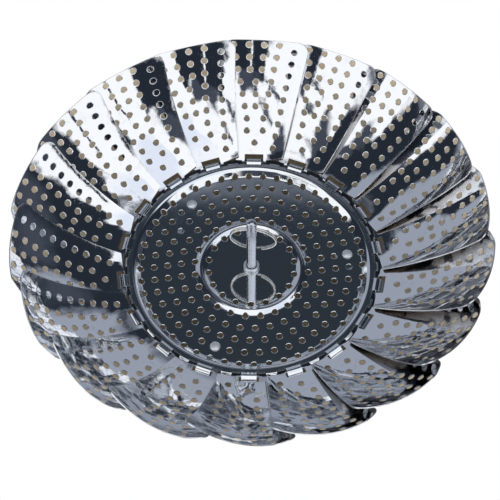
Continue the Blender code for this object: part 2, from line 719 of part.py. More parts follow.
def rivet_mesh():
    """The profile of a leg's rivet: a domed head, a shank and a flat tail under the bracket."""
    shank, tail = RIVET_SHANK_DIAMETER / 2, RIVET_TAIL_DIAMETER / 2
    seat = FLOOR_TOP + RUNNING_GAP
    under = FLOOR_CLEARANCE - 2 * RUNNING_GAP - BRACKET_SHEET
    profile = dome(RIVET_HEAD_DIAMETER / 2, seat + RIVET_HEAD_HEIGHT, RIVET_HEAD_HEIGHT)
    profile += [(shank, seat), (shank, under), (tail, under)]
    profile += [(tail, under - RIVET_TAIL_HEIGHT), (0, under - RIVET_TAIL_HEIGHT)]
    return profile_mesh("leg_rivet", profile)


def legs(collection):
    """Three legs with their brackets, pins and rivets, each leg with its origin on its pin."""
    leg_shape, bracket_shape = leg_mesh(), bracket_mesh()
    pin_shape, rivet_shape = pin_mesh(), rivet_mesh()
    for number in range(1, LEG_COUNT + 1):
        azimuth = RIVET_AZIMUTH + tau * (number - 1) / LEG_COUNT
        pivot = spoke_empty(f"pivot_{number}", azimuth, PIN_RADIUS, PIN_LEVEL, collection)
        bracket = sheet(f"leg_bracket_{number}", bracket_shape, BRACKET_SHEET, collection)
        pin = turned(f"leg_pin_{number}", pin_shape, SMALL_TURN_STEPS, collection)
        pin.rotation_euler.y = pi / 2
        leg = sheet(f"leg_{number}", leg_shape, LEG_SHEET, collection)
        leg.rotation_euler.x = LEG_SPLAY
        for piece in (bracket, pin, leg):
            piece.parent = pivot
        rivet = turned(f"leg_rivet_{number}", rivet_shape, SMALL_TURN_STEPS, collection)
        rivet.location = (RIVET_RADIUS * cos(azimuth), RIVET_RADIUS * sin(azimuth), 0)


def main():
    for thing in list(bpy.data.objects):
        bpy.data.objects.remove(thing)
    basket = bpy.data.collections.new("folding_steamer_basket")
    cutters = bpy.data.collections.new("cutters")
    for collection in (basket, cutters):
        bpy.context.scene.collection.children.link(collection)
    base_plate(basket)
    petals(basket)
    center_post(basket, cutters)
    post_collar(basket)
    post_nut(basket)
    lifting_ring(basket)
    legs(basket)


main()
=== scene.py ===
"""Looks of the folding steamer basket: bright stainless petals, plate, post, ring and legs in a
plain studio. Metres, +Z up, feet on Z = 0, post on the Z axis, petal_01 at +Y."""

from math import asin, cos, hypot, pi, radians, sin, sqrt, tan, tau

import bpy
import numpy as np
from mathutils import Matrix, Vector
from mathutils.geometry import delaunay_2d_cdt


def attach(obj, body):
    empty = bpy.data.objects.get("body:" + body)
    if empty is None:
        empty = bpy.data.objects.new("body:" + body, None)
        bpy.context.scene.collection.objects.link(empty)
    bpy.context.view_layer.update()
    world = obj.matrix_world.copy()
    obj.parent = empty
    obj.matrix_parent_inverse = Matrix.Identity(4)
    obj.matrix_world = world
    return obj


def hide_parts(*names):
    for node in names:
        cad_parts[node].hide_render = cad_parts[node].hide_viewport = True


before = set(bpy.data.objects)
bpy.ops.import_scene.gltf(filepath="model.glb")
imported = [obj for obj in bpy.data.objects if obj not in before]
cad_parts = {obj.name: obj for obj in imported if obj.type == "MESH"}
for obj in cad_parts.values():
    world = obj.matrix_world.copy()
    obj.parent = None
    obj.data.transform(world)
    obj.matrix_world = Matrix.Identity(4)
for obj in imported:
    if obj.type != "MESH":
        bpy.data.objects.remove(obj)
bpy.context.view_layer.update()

# Sheets and clearances
RUNNING_GAP = 0.0003
PLATE_SHEET = 0.0005
PETAL_SHEET = 0.0005
BRACKET_SHEET = 0.0008
LEG_SHEET = 0.0008

# Heights
FLOOR_CLEARANCE = 0.0380
FLOOR_TOP = FLOOR_CLEARANCE + PLATE_SHEET
FLOOR_MIDDLE = FLOOR_CLEARANCE + PLATE_SHEET / 2
SLOT_RISE = 0.0034
SLOT_LEVEL = FLOOR_TOP + SLOT_RISE
SHELF_RISE = 0.0029

# Punched holes
HOLE_RADIUS = 0.00165
HOLE_SIDES = 14
ROLL_WIDTH = 0.00024  # rounded edge that the punch leaves round a hole
ROLL_DEPTH = 0.00007
ROLL_END = 1.12  # where the flat sheet begins, in widths of the roll
ROLL_STEPS = (0.4, ROLL_END)
ROLL_LIMIT = 1.2
DISH_RADIUS = 0.0027  # shallow dent that it leaves in the sheet about the hole
PETAL_DISH_DEPTH = 0.000045
PLATE_DISH_DEPTH = 0.000005
DISH_LEAST = 0.6  # the shallowest dent, and how much deeper the deepest is
DISH_SPREAD = 0.8
DISH_CHANCE = 0.618
FIRST_RING_RADIUS = 0.02185
RING_PITCH = 0.0068
RING_COUNT = 6
FIRST_RING_HOLES = 18
ADDED_HOLES = 6
RIVET_RING = 4
RIVET_AZIMUTH = radians(10)
RIVET_RADIUS = FIRST_RING_RADIUS + RIVET_RING * RING_PITCH

# Plate
POST_BORE = 0.0023
RIVET_BORE = 0.0015
BEAD_RADIUS = FIRST_RING_RADIUS + RING_PITCH / 2
BEAD_HALF_WIDTH = 0.0034
BEAD_HEIGHT = 0.0011
RIM_FOOT_RADIUS = 0.0557
SHELF_RADIUS = 0.0592
SHELF_EDGE_RADIUS = 0.0622
RIM_FOOT_BEND = 0.0005
SHELF_BEND = 0.0010
LUG_WIDTH = 0.0074
LUG_RELIEF = 0.0006
LUG_INSET = 0.0008
LUG_BULGE = 0.0008  # how far the lug's curl stands out past the hinge's middle
LUG_FLATNESS = 0.7  # 1 gives the curl an elliptic section, and less a squarer one
LUG_TILT = radians(30)  # how far its flat top falls outward
LUG_START = radians(140)
LUG_END = radians(-150)
TAB_WIDTH = 0.0052
TAB_REACH = 0.0016
TAB_BEND = TAB_REACH / 4
TAB_SLOPE = radians(45)
TAB_CORNER = 0.0007

# Petals
PETAL_COUNT = 18
PETAL_STEP = tau / PETAL_COUNT
SLOT_RADIUS = 0.0650
PETAL_REACH = 0.0638
BASE_SLOPE = radians(16.5)
PROFILE_RADIUS = 0.1023
SLOT_WIDTH = 0.0098
SLOT_OUTER = 0.0024
LIP_BEND = 0.0015
LIP_HEIGHT = 0.0018
LIP_WIDTH = 0.0126
LIP_FOLD = 0.0005
SLOT_IN_LIP = 0.0003
INNER_EDGE = 0.0010
LEADING_BASE = 0.0149
LEADING_TIP = 0.0285
TRAILING_BASE = 0.0098
TRAILING_TIP = 0.0232
TIP_CORNER = 0.0050
TRAILING_TIP_CORNER = 0.0060
SLANT_START = 0.0136  # where the tip begins to fall back to its trailing corner
SLANT_BEND = 0.0100
SLANT_DROP = 0.0052
TRAILING_CORNER = 0.0010
LEADING_START = -0.0005
BASE_CORNER = 0.0008
TIP_TRIM = 0.0007  # which keeps the tip inside the solid petal's
TIP_LEVEL = PETAL_REACH - TIP_TRIM
TIP_CROWN = -0.0001
EDGE_CROWN = 0.0001
WING_START = 0.0040
WING_RADIUS = 0.0250
TIP_ROLL = radians(10)
TIP_CAMBER_RADIUS = 0.0500
ROLL_MIDDLE = 0.0020
CAMBER_MIDDLE = 0.0040
LIFT_BLEND = 0.0300
ROW_HOLES = (4, 4, 4, 3, 3, 3, 2, 2, 1)
ROW_PITCH = 0.00645
LAST_ROW = 0.0089
ROW_LEFT_SHARE = 0.193
ROW_RIGHT_SHARE = 0.2065
LEAST_SPREAD = 0.0084
COLUMN_BASE = 0.00854
COLUMN_SHARE = 0.2035

# Post, collar, nut and ring
POST_RADIUS = 0.0025
POST_HEIGHT = 0.0410
POST_TOP = FLOOR_TOP + POST_HEIGHT
POST_DOME = 0.0017
STEM_RADIUS = 0.0020
STEM_TAIL = 0.0012
COLLAR_RADIUS = 0.0040
COLLAR_HEIGHT = 0.0019
COLLAR_ROUND = 0.0006
COLLAR_UNDERCUT = radians(-36)  # as far as its rounded edge turns in
COLLAR_FOOT_RADIUS = 0.0031
NUT_WIDTH = 0.0070
NUT_HEIGHT = 0.0024
NUT_CHAMFER_SHARE = 0.93
CHAMFER = 0.0003  # of the nut, the stem, the pins and the rivets' tails
CROSS_HOLE_DROP = 0.0064
CROSS_HOLE_LEVEL = POST_TOP - CROSS_HOLE_DROP
CROSS_HOLE_RADIUS = 0.0015
CROSS_HOLE_ROOM = 0.0022  # from its middle down to the next ring of points on the post
DRILL_REACH = 0.0040
RING_DIAMETER = 0.0226
RING_WIRE = 0.0009
RING_TURN_GAP = 0.00015
RING_TURNS = 2
CROSSOVER_SHARE = 0.1
RING_YAW = radians(7)  # how the ring hangs askew in its hole
RING_ROLL = radians(3)

# Legs and their brackets
LEG_COUNT = 3
LEG_SPLAY = radians(8)
BRACKET_LENGTH = 0.0120
BRACKET_INSIDE = 0.0072
BRACKET_CORNER = 0.0020
EAR_WIDTH = 0.0096
EAR_RADIUS = 0.0031
PIN_DROP = 0.0048
PIN_OFFSET = 0.0010
PIN_RADIUS = 0.0010
PIN_HEAD_RADIUS = 0.0017
PIN_HEAD_HEIGHT = 0.0007
WEB_OFFSET = 0.0020
EYE_RADIUS = 0.0024
EYE_LENGTH = 0.0030
HEEL_WIDTH = 0.0022
WEB_TOP = 0.0020
LEG_TOE_DEPTH = 0.0016
LEG_TOE_RISE = 0.0015
FOOT_LENGTH = 0.0058
FOOT_CORNER = 0.0018
SHEET_FOLD = 0.0009  # radius of the folds of a leg and a bracket
FLANGE_FOLD = SHEET_FOLD * 0.8
RIVET_HEAD_RADIUS = 0.0026
RIVET_HEAD_HEIGHT = 0.0010
RIVET_SHANK_RADIUS = 0.0012
RIVET_TAIL_RADIUS = 0.0021
RIVET_TAIL_HEIGHT = 0.0008
PIN_CIRCLE = RIVET_RADIUS + PIN_OFFSET
PIN_LEVEL = FLOOR_CLEARANCE - RUNNING_GAP - BRACKET_SHEET - PIN_DROP
EAR_BEND = (BRACKET_INSIDE + BRACKET_SHEET) / 2
WEB_HALF = BRACKET_INSIDE / 2 - RUNNING_GAP - LEG_SHEET / 2
FOOT_LIFT = 0.00003  # which keeps the feet inside the solid ones
LEG_BEND = (PIN_LEVEL - LEG_SHEET / 2 + WEB_OFFSET * sin(LEG_SPLAY)) / cos(LEG_SPLAY) - FOOT_LIFT

# Fineness: steps along edges and round corners, the grids inside, and the least space that a
# grid's points keep to the edges
SLOPE_STEP = 0.00002  # over which the slope of a pressed form is taken
WELD = 0.000001
LEAST_LENGTH = 1e-12
BATCH = 400  # points that are measured at once
GRID_ROOM = 0.6  # of the least space, kept to the rolls of the holes
SMOOTH_EDGE = 0.8  # cosine of the most that a smooth cut edge turns
PETAL_CORNER_STEP = 0.0009
RIM_CORNER_STEP = 0.0003
FOLDED_CORNER_STEP = 0.0004
EDGE_STEP = 0.0016
WINDOW_STEP = 0.0012
BRACKET_EDGE_STEP = 0.0009
LEG_EDGE_STEP = 0.0010
LONG_EDGE_PARTS = 24
LONG_EDGE_STEPS = range(2, 20)  # those of the parts that have a point on both long edges
PETAL_GRID = (0.050, 0.068, 0.0017, (0.006, 0.0315))  # width, depth, pitch and middle
BRACKET_GRID = (0.030, 0.016, 0.0015, (0, 0))
LEG_GRID = (0.016, 0.050, 0.0015, (0, -0.016))
PETAL_SPACE = 0.0005
PLATE_SPACE = 0.00022
FOLDED_SPACE = 0.0004
LIP_ROWS = (-0.0012, -0.0007, -0.0003, 0, 0.0003, 0.0008)
LUG_POINTS = 120
LUG_RISE_POINTS = 30
LUG_SIDE_POINTS = 18
LUG_LINES = 16
TAB_LINES = 5
LINE_POINTS = 6
PLATE_GRID_STEP = 0.0020
GRID_TURN = 0.37  # between one ring of points and the next
LEAST_RING_POINTS = 8
# Rings of points on the plate: from a radius, up to a radius, in steps, and how much finer
PLATE_RINGS = (
    (0.0045, 0.0210, 0.0020, 1),
    (BEAD_RADIUS - 0.0036, BEAD_RADIUS + 0.0040, 0.0004, 1.4),
    (0.0305, 0.0540, 0.0018, 1),
)
BEND_STEPS = (-1.1, -0.7, -0.2, 0.2, 0.7, 1.1)
BEND_FINENESS = 2
SLOPE_RING = 0.0012  # from the rim's foot, and from the shelf's start, to one more ring
SHELF_RING = 0.0020
FOLD_ROW_STEP = 0.0011
FOLD_LINES = 7
FOOT_COLUMNS = np.arange(-0.0026, 0.0027, 0.0013)
POST_SIDES = 48
POST_BORE_SIDES = 24
DRILL_SIDES = 24
BORE_SIDES = 16
PIN_SIDES = 24
RIVET_SIDES = 32
NUT_SIDES = 6
POST_DOME_POINTS = 11
RIVET_DOME_POINTS = 9
COLLAR_STEPS = 8
CHAMFER_STEPS = 3
WIRE_SIDES = 12
WIRE_STEPS = 144
CAP_TURNS = (1.45, 1.1, 0.6)  # round the rounded end of a wire, from near its tip
CREASE = radians(32)  # the least angle of a sharp edge
WIRE_CREASE = radians(50)


# ---------------------------------------------------------------- shader expressions


MIXED_COLOURS = (6, 7)  # the sockets of a Mix node for its two colours, and that of its result
MIXED_RESULT = 2


class Wire:
    """A socket that takes part in sums: an expression on it adds the Math nodes that it needs."""

    def __init__(self, nodes, socket):
        self.nodes = nodes
        self.socket = socket

    def math(self, operation, *values):
        inputs = dict(enumerate(values))
        return self.nodes.make("ShaderNodeMath", {"operation": operation}, inputs)

    def __add__(self, other):
        return self.math("ADD", self, other)

    def __radd__(self, other):
        return self.math("ADD", other, self)

    def __sub__(self, other):
        return self.math("SUBTRACT", self, other)

    def __rsub__(self, other):
        return self.math("SUBTRACT", other, self)

    def __mul__(self, other):
        return self.math("MULTIPLY", self, other)

    def __rmul__(self, other):
        return self.math("MULTIPLY", other, self)

    def __abs__(self):
        return self.math("ABSOLUTE", self)

    def most(self, other):
        return self.math("MAXIMUM", self, other)

    def step(self, low, high):
        """0 below low and 1 above high, smooth between, or the other way round if low is higher."""
        settings = {"interpolation_type": "SMOOTHSTEP"}
        ends = (low, high, 0, 1) if low < high else (high, low, 1, 0)
        inputs = dict(zip(("From Min", "From Max", "To Min", "To Max"), ends))
        return self.nodes.make("ShaderNodeMapRange", settings, {"Value": self, **inputs})


class Nodes:
    """The node tree of a finish, of the floor or of the studio round them."""

    def __init__(self, owner):
        owner.use_nodes = True
        self.tree = owner.node_tree
        self.tree.nodes.clear()

    def make(self, kind, settings=None, inputs=None, output=0):
        """A node of a kind: its settings first, then the values or links of its sockets."""
        node = self.tree.nodes.new(kind)
        for name, value in (settings or {}).items():
            setattr(node, name, value)
        for name, value in (inputs or {}).items():
            if isinstance(value, Wire):
                self.tree.links.new(value.socket, node.inputs[name])
            else:
                node.inputs[name].default_value = value
        return Wire(self, node.outputs[output]) if len(node.outputs) else None

    def blend(self, first, second, share):
        """A colour between two colours."""
        inputs = {0: share}
        for place, shade in zip(MIXED_COLOURS, (first, second)):
            inputs[place] = shade if isinstance(shade, Wire) else (*shade, 1)
        return self.make("ShaderNodeMix", {"data_type": "RGBA"}, inputs, MIXED_RESULT)

    def noise(self, where, scale, detail=2.0, roughness=0.5, distortion=0.0):
        """Cloudy values from 0 to 1 over a place."""
        inputs = {"Vector": where, "Scale": scale, "Detail": detail}
        inputs.update({"Roughness": roughness, "Distortion": distortion})
        return self.make("ShaderNodeTexNoise", {}, inputs)

    def stretched(self, where, stretch, turn=0.0):
        """A place with its axes turned about Z and stretched."""
        inputs = {"Vector": where, "Scale": stretch, "Rotation": (0, 0, turn)}
        return self.make("ShaderNodeMapping", {"vector_type": "TEXTURE"}, inputs)


# ---------------------------------------------------------------- finishes


MARK_SHIFT = (0.37, 0.21, 0.0)  # between the finishes of one piece and the next, in metres
BACK_SHIFT = 0.05
PAINTED_GAP_REACH = 0.007  # painted shade: how wide a gap between two sheets may be and still be painted darker
PAINTED_GAP_SHADE = (0.29, 0.26, 0.23)
PAINTED_GAP_STEP = (0.12, 0.72)
PAINTED_GAP_SAMPLES = 8

# Clouds of the finish: scale, detail, roughness and distortion
WAVES = (70, 2, 0.45, 0.6)
RIPPLES = (240, 2, 0.5, 0.3)
WATER_MARKS = (160, 3, 0.6, 0.8)
WATER_STEP = (0.55, 0.72)
ROLLING_LINES = (0.05, 0.0006, 0.05)  # their size along, across and through the sheet

# Hairline scratches: length, width, the way they lie and how much of the noise they take
SCRATCHES = (0.012, 0.00012, 0.5, 0.30)
CROSSED_SCRATCHES = (0.008, 0.00010, 2.1, 0.29)
SCRATCH_BOW_SCALE = 40
SCRATCH_BOW = 0.25
SCRATCH_DETAIL = 1.5
SCRATCH_EDGE = 0.05

# How high the marks of the finish stand, in metres
WAVE_HEIGHT = 0.000110
RIPPLE_HEIGHT = 0.000045
ROLLING_HEIGHT = 0.0000009
SCRATCH_DEPTH = 0.0000025

# How much the marks change the shade and the roughness
DULL_SHARES = (0.80, 0.79, 0.78)
PALE_SHARE = 1.08
WATER_SHADE = 0.35
SCRATCH_SHADE = 0.35
EDGE_SHADE = 0.6
ROLLING_ROUGHNESS = 0.05
WATER_ROUGHNESS = 0.05
SCRATCH_ROUGHNESS = 0.22
EDGE_ROUGHNESS = 0.16


def scratches(nodes, where, length, width, turn, amount):
    """Thin hairline scratches that lie about one way."""
    inputs = {"Vector": where, "Scale": SCRATCH_BOW_SCALE}
    clouds = nodes.make("ShaderNodeTexNoise", {}, inputs, 1)
    inputs = {0: clouds, "Scale": length * SCRATCH_BOW}
    drift = nodes.make("ShaderNodeVectorMath", {"operation": "SCALE"}, inputs)
    bowed = nodes.make("ShaderNodeVectorMath", {"operation": "ADD"}, {0: where, 1: drift})
    stretched = nodes.stretched(bowed, (length, width, width), turn)
    return nodes.noise(stretched, 1, SCRATCH_DETAIL).step(1 - amount, 1 - amount + SCRATCH_EDGE)


def bright_steel(name, shade, polish, dents, marks, lines, gaps=False):
    """Polished stainless steel: a near mirror with the sheet's waves, rolling lines, hairline
    scratches, faint water marks, and cut edges that are paler and less smooth. With gaps, it has
    painted shade: its colour is darkened where another sheet lies close over it."""
    steel = bpy.data.materials.new(name)
    nodes = Nodes(steel)
    where = nodes.make("ShaderNodeAttribute", {"attribute_name": "sheet_place"}, output=1)
    waves = nodes.noise(where, *WAVES)
    ripples = nodes.noise(where, *RIPPLES)
    rolled = nodes.noise(nodes.stretched(where, ROLLING_LINES), 1, 2)
    marked = scratches(nodes, where, *SCRATCHES)
    crossed = scratches(nodes, where, *CROSSED_SCRATCHES)
    water = nodes.noise(where, *WATER_MARKS).step(*WATER_STEP)
    rim = nodes.make("ShaderNodeAttribute", {"attribute_name": "cut_edge"}, output=2)
    hairlines = marked.most(crossed)
    dull = [part * share for part, share in zip(shade, DULL_SHARES)]
    pale = [min(1, part * PALE_SHARE) for part in shade]
    colour = nodes.blend(shade, dull, water * WATER_SHADE)
    colour = nodes.blend(colour, pale, hairlines * (SCRATCH_SHADE * marks))
    colour = nodes.blend(colour, pale, rim * EDGE_SHADE)
    # Painted shade: the colour goes toward PAINTED_GAP_SHADE where ambient occlusion finds another
    # sheet close by
    if gaps:
        settings, inputs = {"samples": PAINTED_GAP_SAMPLES}, {"Distance": PAINTED_GAP_REACH}
        unoccluded_share = nodes.make("ShaderNodeAmbientOcclusion", settings, inputs, 1)
        colour = nodes.blend(PAINTED_GAP_SHADE, colour, unoccluded_share.step(*PAINTED_GAP_STEP))
    roughness = polish + rolled * (ROLLING_ROUGHNESS * lines) + water * WATER_ROUGHNESS
    roughness = roughness + hairlines * (SCRATCH_ROUGHNESS * marks) + rim * EDGE_ROUGHNESS
    height = waves * (WAVE_HEIGHT * dents) + ripples * (RIPPLE_HEIGHT * dents)
    height = height + rolled * (ROLLING_HEIGHT * lines) - hairlines * (SCRATCH_DEPTH * marks)
    bump = nodes.make("ShaderNodeBump", {}, {"Strength": 1, "Distance": 1, "Height": height})
    inputs = {"Base Color": colour, "Metallic": 1, "Roughness": roughness, "Normal": bump}
    shader = nodes.make("ShaderNodeBsdfPrincipled", {}, inputs)
    nodes.make("ShaderNodeOutputMaterial", {}, {"Surface": shader})
    return steel


# The finishes, with how much each has of dents, of scratches and of rolling lines
# The petals' steel has painted shade where a neighbour's sheet lies close over it
PETAL_STEEL = bright_steel("petal_steel", (0.86, 0.87, 0.89), 0.020, 0.5, 0.6, 0.6, gaps=True)
PLATE_STEEL = bright_steel("plate_steel", (0.83, 0.85, 0.87), 0.04, 0.015, 0.3, 0.5)
POST_STEEL = bright_steel("post_steel", (0.58, 0.61, 0.67), 0.20, 0.01, 0.0, 0.2)
COLLAR_STEEL = bright_steel("collar_steel", (0.93, 0.95, 0.98), 0.42, 0.01, 0.1, 0.5)
RING_STEEL = bright_steel("ring_wire", (0.78, 0.76, 0.73), 0.14, 0.01, 0.1, 0.5)
LEG_STEEL = bright_steel("leg_steel", (0.72, 0.73, 0.75), 0.20, 0.05, 1.0, 2.5)
RIVET_STEEL = bright_steel("rivet_steel", (0.95, 0.97, 1.0), 0.48, 0.01, 0.1, 1.0)
FASTENER_STEEL = bright_steel("fastener_steel", (0.62, 0.63, 0.65), 0.28, 0.02, 0.3, 1.0)


# ---------------------------------------------------------------- pressed sheet


def circle(radius, sides, middle=(0.0, 0.0), start=0.0):
    """Points round a circle, as an array."""
    turns = start + tau * np.arange(sides) / sides
    return np.stack([middle[0] + radius * np.cos(turns), middle[1] + radius * np.sin(turns)], 1)


def rounded(corners, fineness):
    """An outline of (x, y, radius) corners with arcs in place of its corners."""
    loop = []
    befores, afters = corners[-1:] + corners[:-1], corners[1:] + corners[:1]
    for before, corner, after in zip(befores, corners, afters):
        here = Vector(corner[:2])
        if not corner[2]:
            loop.append(here)
            continue
        back = (Vector(before[:2]) - here).normalized()
        forth = (Vector(after[:2]) - here).normalized()
        half = back.angle(forth) / 2
        middle = here + (back + forth).normalized() * corner[2] / sin(half)
        spoke = here + back * corner[2] / tan(half) - middle
        turn = pi - 2 * half
        if back.x * forth.y - back.y * forth.x > 0:
            turn = -turn
        count = max(2, round(abs(turn) * corner[2] / fineness))
        first = np.arctan2(spoke.y, spoke.x)
        for step in range(count + 1):
            t = first + turn * step / count
            loop.append(middle + corner[2] * Vector((cos(t), sin(t))))
    return np.array([tuple(point) for point in loop])


def divided(loop, fineness):
    """A closed outline with points added along its long stretches."""
    points = []
    for here, there in zip(loop, np.roll(loop, -1, 0)):
        count = max(1, round(float(np.hypot(*(there - here))) / fineness))
        points += [here + (there - here) * step / count for step in range(count)]
    return np.array(points)


def inside(loop, points):
    """Which of the points lie inside a closed outline."""
    found = np.zeros(len(points), bool)
    x, y = points[:, 0], points[:, 1]
    for (x0, y0), (x1, y1) in zip(loop, np.roll(loop, -1, 0)):
        if y0 != y1:
            crosses = ((y0 > y) != (y1 > y)) & (x < x0 + (y - y0) / (y1 - y0) * (x1 - x0))
            found ^= crosses
    return found


def room(points, others):
    """How far each point is from the nearest of the others."""
    nearest = np.full(len(points), 1.0)
    for start in range(0, len(others), BATCH):
        across, along = others[start:start + BATCH].T
        gaps = np.hypot(points[:, :1] - across, points[:, 1:] - along)
        nearest = np.minimum(nearest, gaps.min(1))
    return nearest


def blank(outline, windows, round_holes, fill, clear):
    """The flat sheet as the press cuts it: its points and its triangles. windows are outlines cut
    out of it, round_holes the middles of the punched holes, and fill the points of a grid inside
    it, of which those that lie clear of the edges are kept."""
    cut_loops = [outline, *windows]
    cut_loops += [circle(HOLE_RADIUS, HOLE_SIDES, middle) for middle in round_holes]
    shoulders = []
    for middle in round_holes:
        for share in ROLL_STEPS:
            shoulders.append(circle(HOLE_RADIUS + ROLL_WIDTH * share, HOLE_SIDES, middle))
    edge_points = np.concatenate(cut_loops + shoulders)
    spots = fill[inside(outline, fill)]
    for window in windows:
        spots = spots[~inside(window, spots)]
    if len(round_holes):
        rolled = HOLE_RADIUS + ROLL_WIDTH * ROLL_END + clear * GRID_ROOM
        spots = spots[room(spots, np.array(round_holes)) > rolled]
    spots = spots[room(spots, edge_points) > clear]
    points, edges = [], []
    for loop in cut_loops:
        first = len(points)
        points += [Vector(point) for point in loop]
        edges += [(first + i, first + (i + 1) % len(loop)) for i in range(len(loop))]
    for loop in (*shoulders, spots):
        points += [Vector(point) for point in loop]
    corners, _, triangles = delaunay_2d_cdt(points, edges, [], 0, WELD)[:3]
    corners = np.array([tuple(corner) for corner in corners])
    triangles = np.array(triangles)
    middles = corners[triangles].mean(1)
    kept = inside(outline, middles)
    for window in windows:
        kept &= ~inside(window, middles)
    if len(round_holes):
        kept &= ~in_round_hole(middles, np.array(round_holes))
    return corners, triangles[kept & ~slivers(corners, triangles)]


def in_round_hole(points, middles):
    """Which of the points lie in a punched hole, as its polygon."""
    found = np.zeros(len(points), bool)
    reach = HOLE_RADIUS * cos(pi / HOLE_SIDES)
    for middle in middles:
        offset = points - middle
        near = np.nonzero(np.hypot(offset[:, 0], offset[:, 1]) < HOLE_RADIUS)[0]
        turn = np.arctan2(offset[near, 1], offset[near, 0]) % (tau / HOLE_SIDES) - pi / HOLE_SIDES
        found[near] |= np.hypot(offset[near, 0], offset[near, 1]) * np.cos(turn) < reach
    return found


def slivers(corners, triangles):
    """Which of the triangles have no width, as along a straight cut."""
    a, b, c = (corners[triangles[:, i]] for i in range(3))
    area = np.abs((b - a)[:, 0] * (c - a)[:, 1] - (b - a)[:, 1] * (c - a)[:, 0])
    longest = np.max([np.hypot(*(b - a).T), np.hypot(*(c - b).T), np.hypot(*(a - c).T)], 0)
    return area / longest < WELD


def unit(vectors):
    """Vectors made one long."""
    return vectors / np.maximum(np.linalg.norm(vectors, axis=-1, keepdims=True), LEAST_LENGTH)


def pressed_mesh(name, flat, form, thickness, steel):
    """A blank bent to its form and given its thickness, with the normals of the true form on its
    faces and of the cut on its edges."""
    corners, triangles = flat
    x, y = corners.T
    middle = form(x, y)
    across = form(x + SLOPE_STEP, y) - form(x - SLOPE_STEP, y)
    along = form(x, y + SLOPE_STEP) - form(x, y - SLOPE_STEP)
    normal = unit(np.cross(across, along))
    front, back = middle + normal * thickness / 2, middle - normal * thickness / 2
    count = len(corners)
    a, b, c = (corners[triangles[:, i]] for i in range(3))
    turned = (b - a)[:, 0] * (c - a)[:, 1] - (b - a)[:, 1] * (c - a)[:, 0] < 0
    triangles = np.where(turned[:, None], triangles[:, ::-1], triangles)
    faces = [tuple(t) for t in triangles] + [tuple(t[::-1] + count) for t in triangles]
    face_normals = [normal[t] for t in triangles] + [-normal[t[::-1]] for t in triangles]
    sides = np.concatenate([triangles[:, [0, 1]], triangles[:, [1, 2]], triangles[:, [2, 0]]])
    low, high = np.sort(sides, 1).T
    _, which, times = np.unique(low * count + high, return_index=True, return_counts=True)
    cuts = sides[which[times == 1]]
    edge = unit(middle[cuts[:, 1]] - middle[cuts[:, 0]])
    facing = unit(np.cross(edge, normal[cuts].mean(1)))
    summed = np.zeros((count, 3))
    np.add.at(summed, cuts[:, 0], facing)
    np.add.at(summed, cuts[:, 1], facing)
    summed = unit(summed)
    for (first, last), out in zip(cuts, facing):
        faces.append((last, first, first + count, last + count))
        ends = [summed[i] if summed[i] @ out > SMOOTH_EDGE else out for i in (last, first)]
        face_normals.append(np.array([ends[0], ends[1], ends[1], ends[0]]))
    mesh = bpy.data.meshes.new(name)
    mesh.from_pydata(np.concatenate([front, back]).tolist(), [], [list(map(int, f)) for f in faces])
    mesh.polygons.foreach_set("use_smooth", [True] * len(faces))
    mesh.normals_split_custom_set(np.concatenate(face_normals).tolist())
    on_cut = np.zeros(2 * count, np.float32)
    on_cut[cuts.ravel()] = 1
    on_cut[cuts.ravel() + count] = 1
    mesh.attributes.new("cut_edge", "FLOAT", "POINT").data.foreach_set("value", on_cut)
    flat_places = np.zeros((2 * count, 3))
    flat_places[:, :2] = np.concatenate([corners, corners])
    flat_places[count:, 2] = BACK_SHIFT
    mark_places(mesh, flat_places)
    mesh.materials.append(steel)
    return mesh


def honeycomb(width, depth, pitch, middle):
    """Points of a staggered grid that covers a rectangle."""
    rows = np.arange(-depth / 2, depth / 2, pitch * sqrt(3) / 2)
    points = []
    for number, row in enumerate(rows):
        columns = np.arange(-width / 2 + (number % 2) * pitch / 2, width / 2, pitch)
        points.append(np.stack([columns + middle[0], np.full(len(columns), row + middle[1])], 1))
    return np.concatenate(points)


def hole_roll(points, middles, dish_depth):
    """How far the sheet is drawn in by its punched holes: sharply at the rounded edge of each, and
    a little, as a shallow dish, round it."""
    share = np.clip(1 - (room(points, middles) - HOLE_RADIUS) / ROLL_WIDTH, 0, ROLL_LIMIT)
    depth = ROLL_DEPTH * share * share
    for number, middle in enumerate(middles):
        gaps = np.hypot(points[:, 0] - middle[0], points[:, 1] - middle[1])
        dish = dish_depth * (DISH_LEAST + DISH_SPREAD * (number * DISH_CHANCE % 1))
        depth = depth + dish * np.exp(-(gaps / DISH_RADIUS) ** 2)
    return depth


def smooth(share):
    """0 to 1, with no corner at either end."""
    share = np.clip(share, 0, 1)
    return share * share * (3 - 2 * share)


def soft_ramp(distance, bend):
    """0 before the start and the distance after it, with a rounded bend between."""
    inner = np.clip(distance + bend, 0, 2 * bend)
    return np.where(distance > bend, distance, inner * inner / (4 * bend))


# ---------------------------------------------------------------- petals


def petal_profile(along):
    """Radius, height over the slots and slope of a petal's middle, along the sheet."""
    slope = BASE_SLOPE + along / PROFILE_RADIUS
    radius = SLOT_RADIUS + PROFILE_RADIUS * (np.sin(slope) - sin(BASE_SLOPE))
    return radius, PROFILE_RADIUS * (cos(BASE_SLOPE) - np.cos(slope)), slope


HINGE_RADIUS, LIP_RISE, LIP_SLOPE = (float(part) for part in petal_profile(-LIP_BEND))
HINGE_LEVEL = SLOT_LEVEL + LIP_RISE - (LIP_HEIGHT + SLOT_IN_LIP) / 2


def petal_lift(across, along):
    """How far the sheet stands up from the petal's middle profile, square to it."""
    wing = np.maximum(0, across - WING_START) ** 2 / (2 * WING_RADIUS)
    roll = tan(TIP_ROLL) * (across - ROLL_MIDDLE)
    camber = (across - CAMBER_MIDDLE) ** 2 / (2 * TIP_CAMBER_RADIUS)
    share = smooth(along / LIFT_BLEND)
    return wing * (1 - share) + (roll + camber) * share


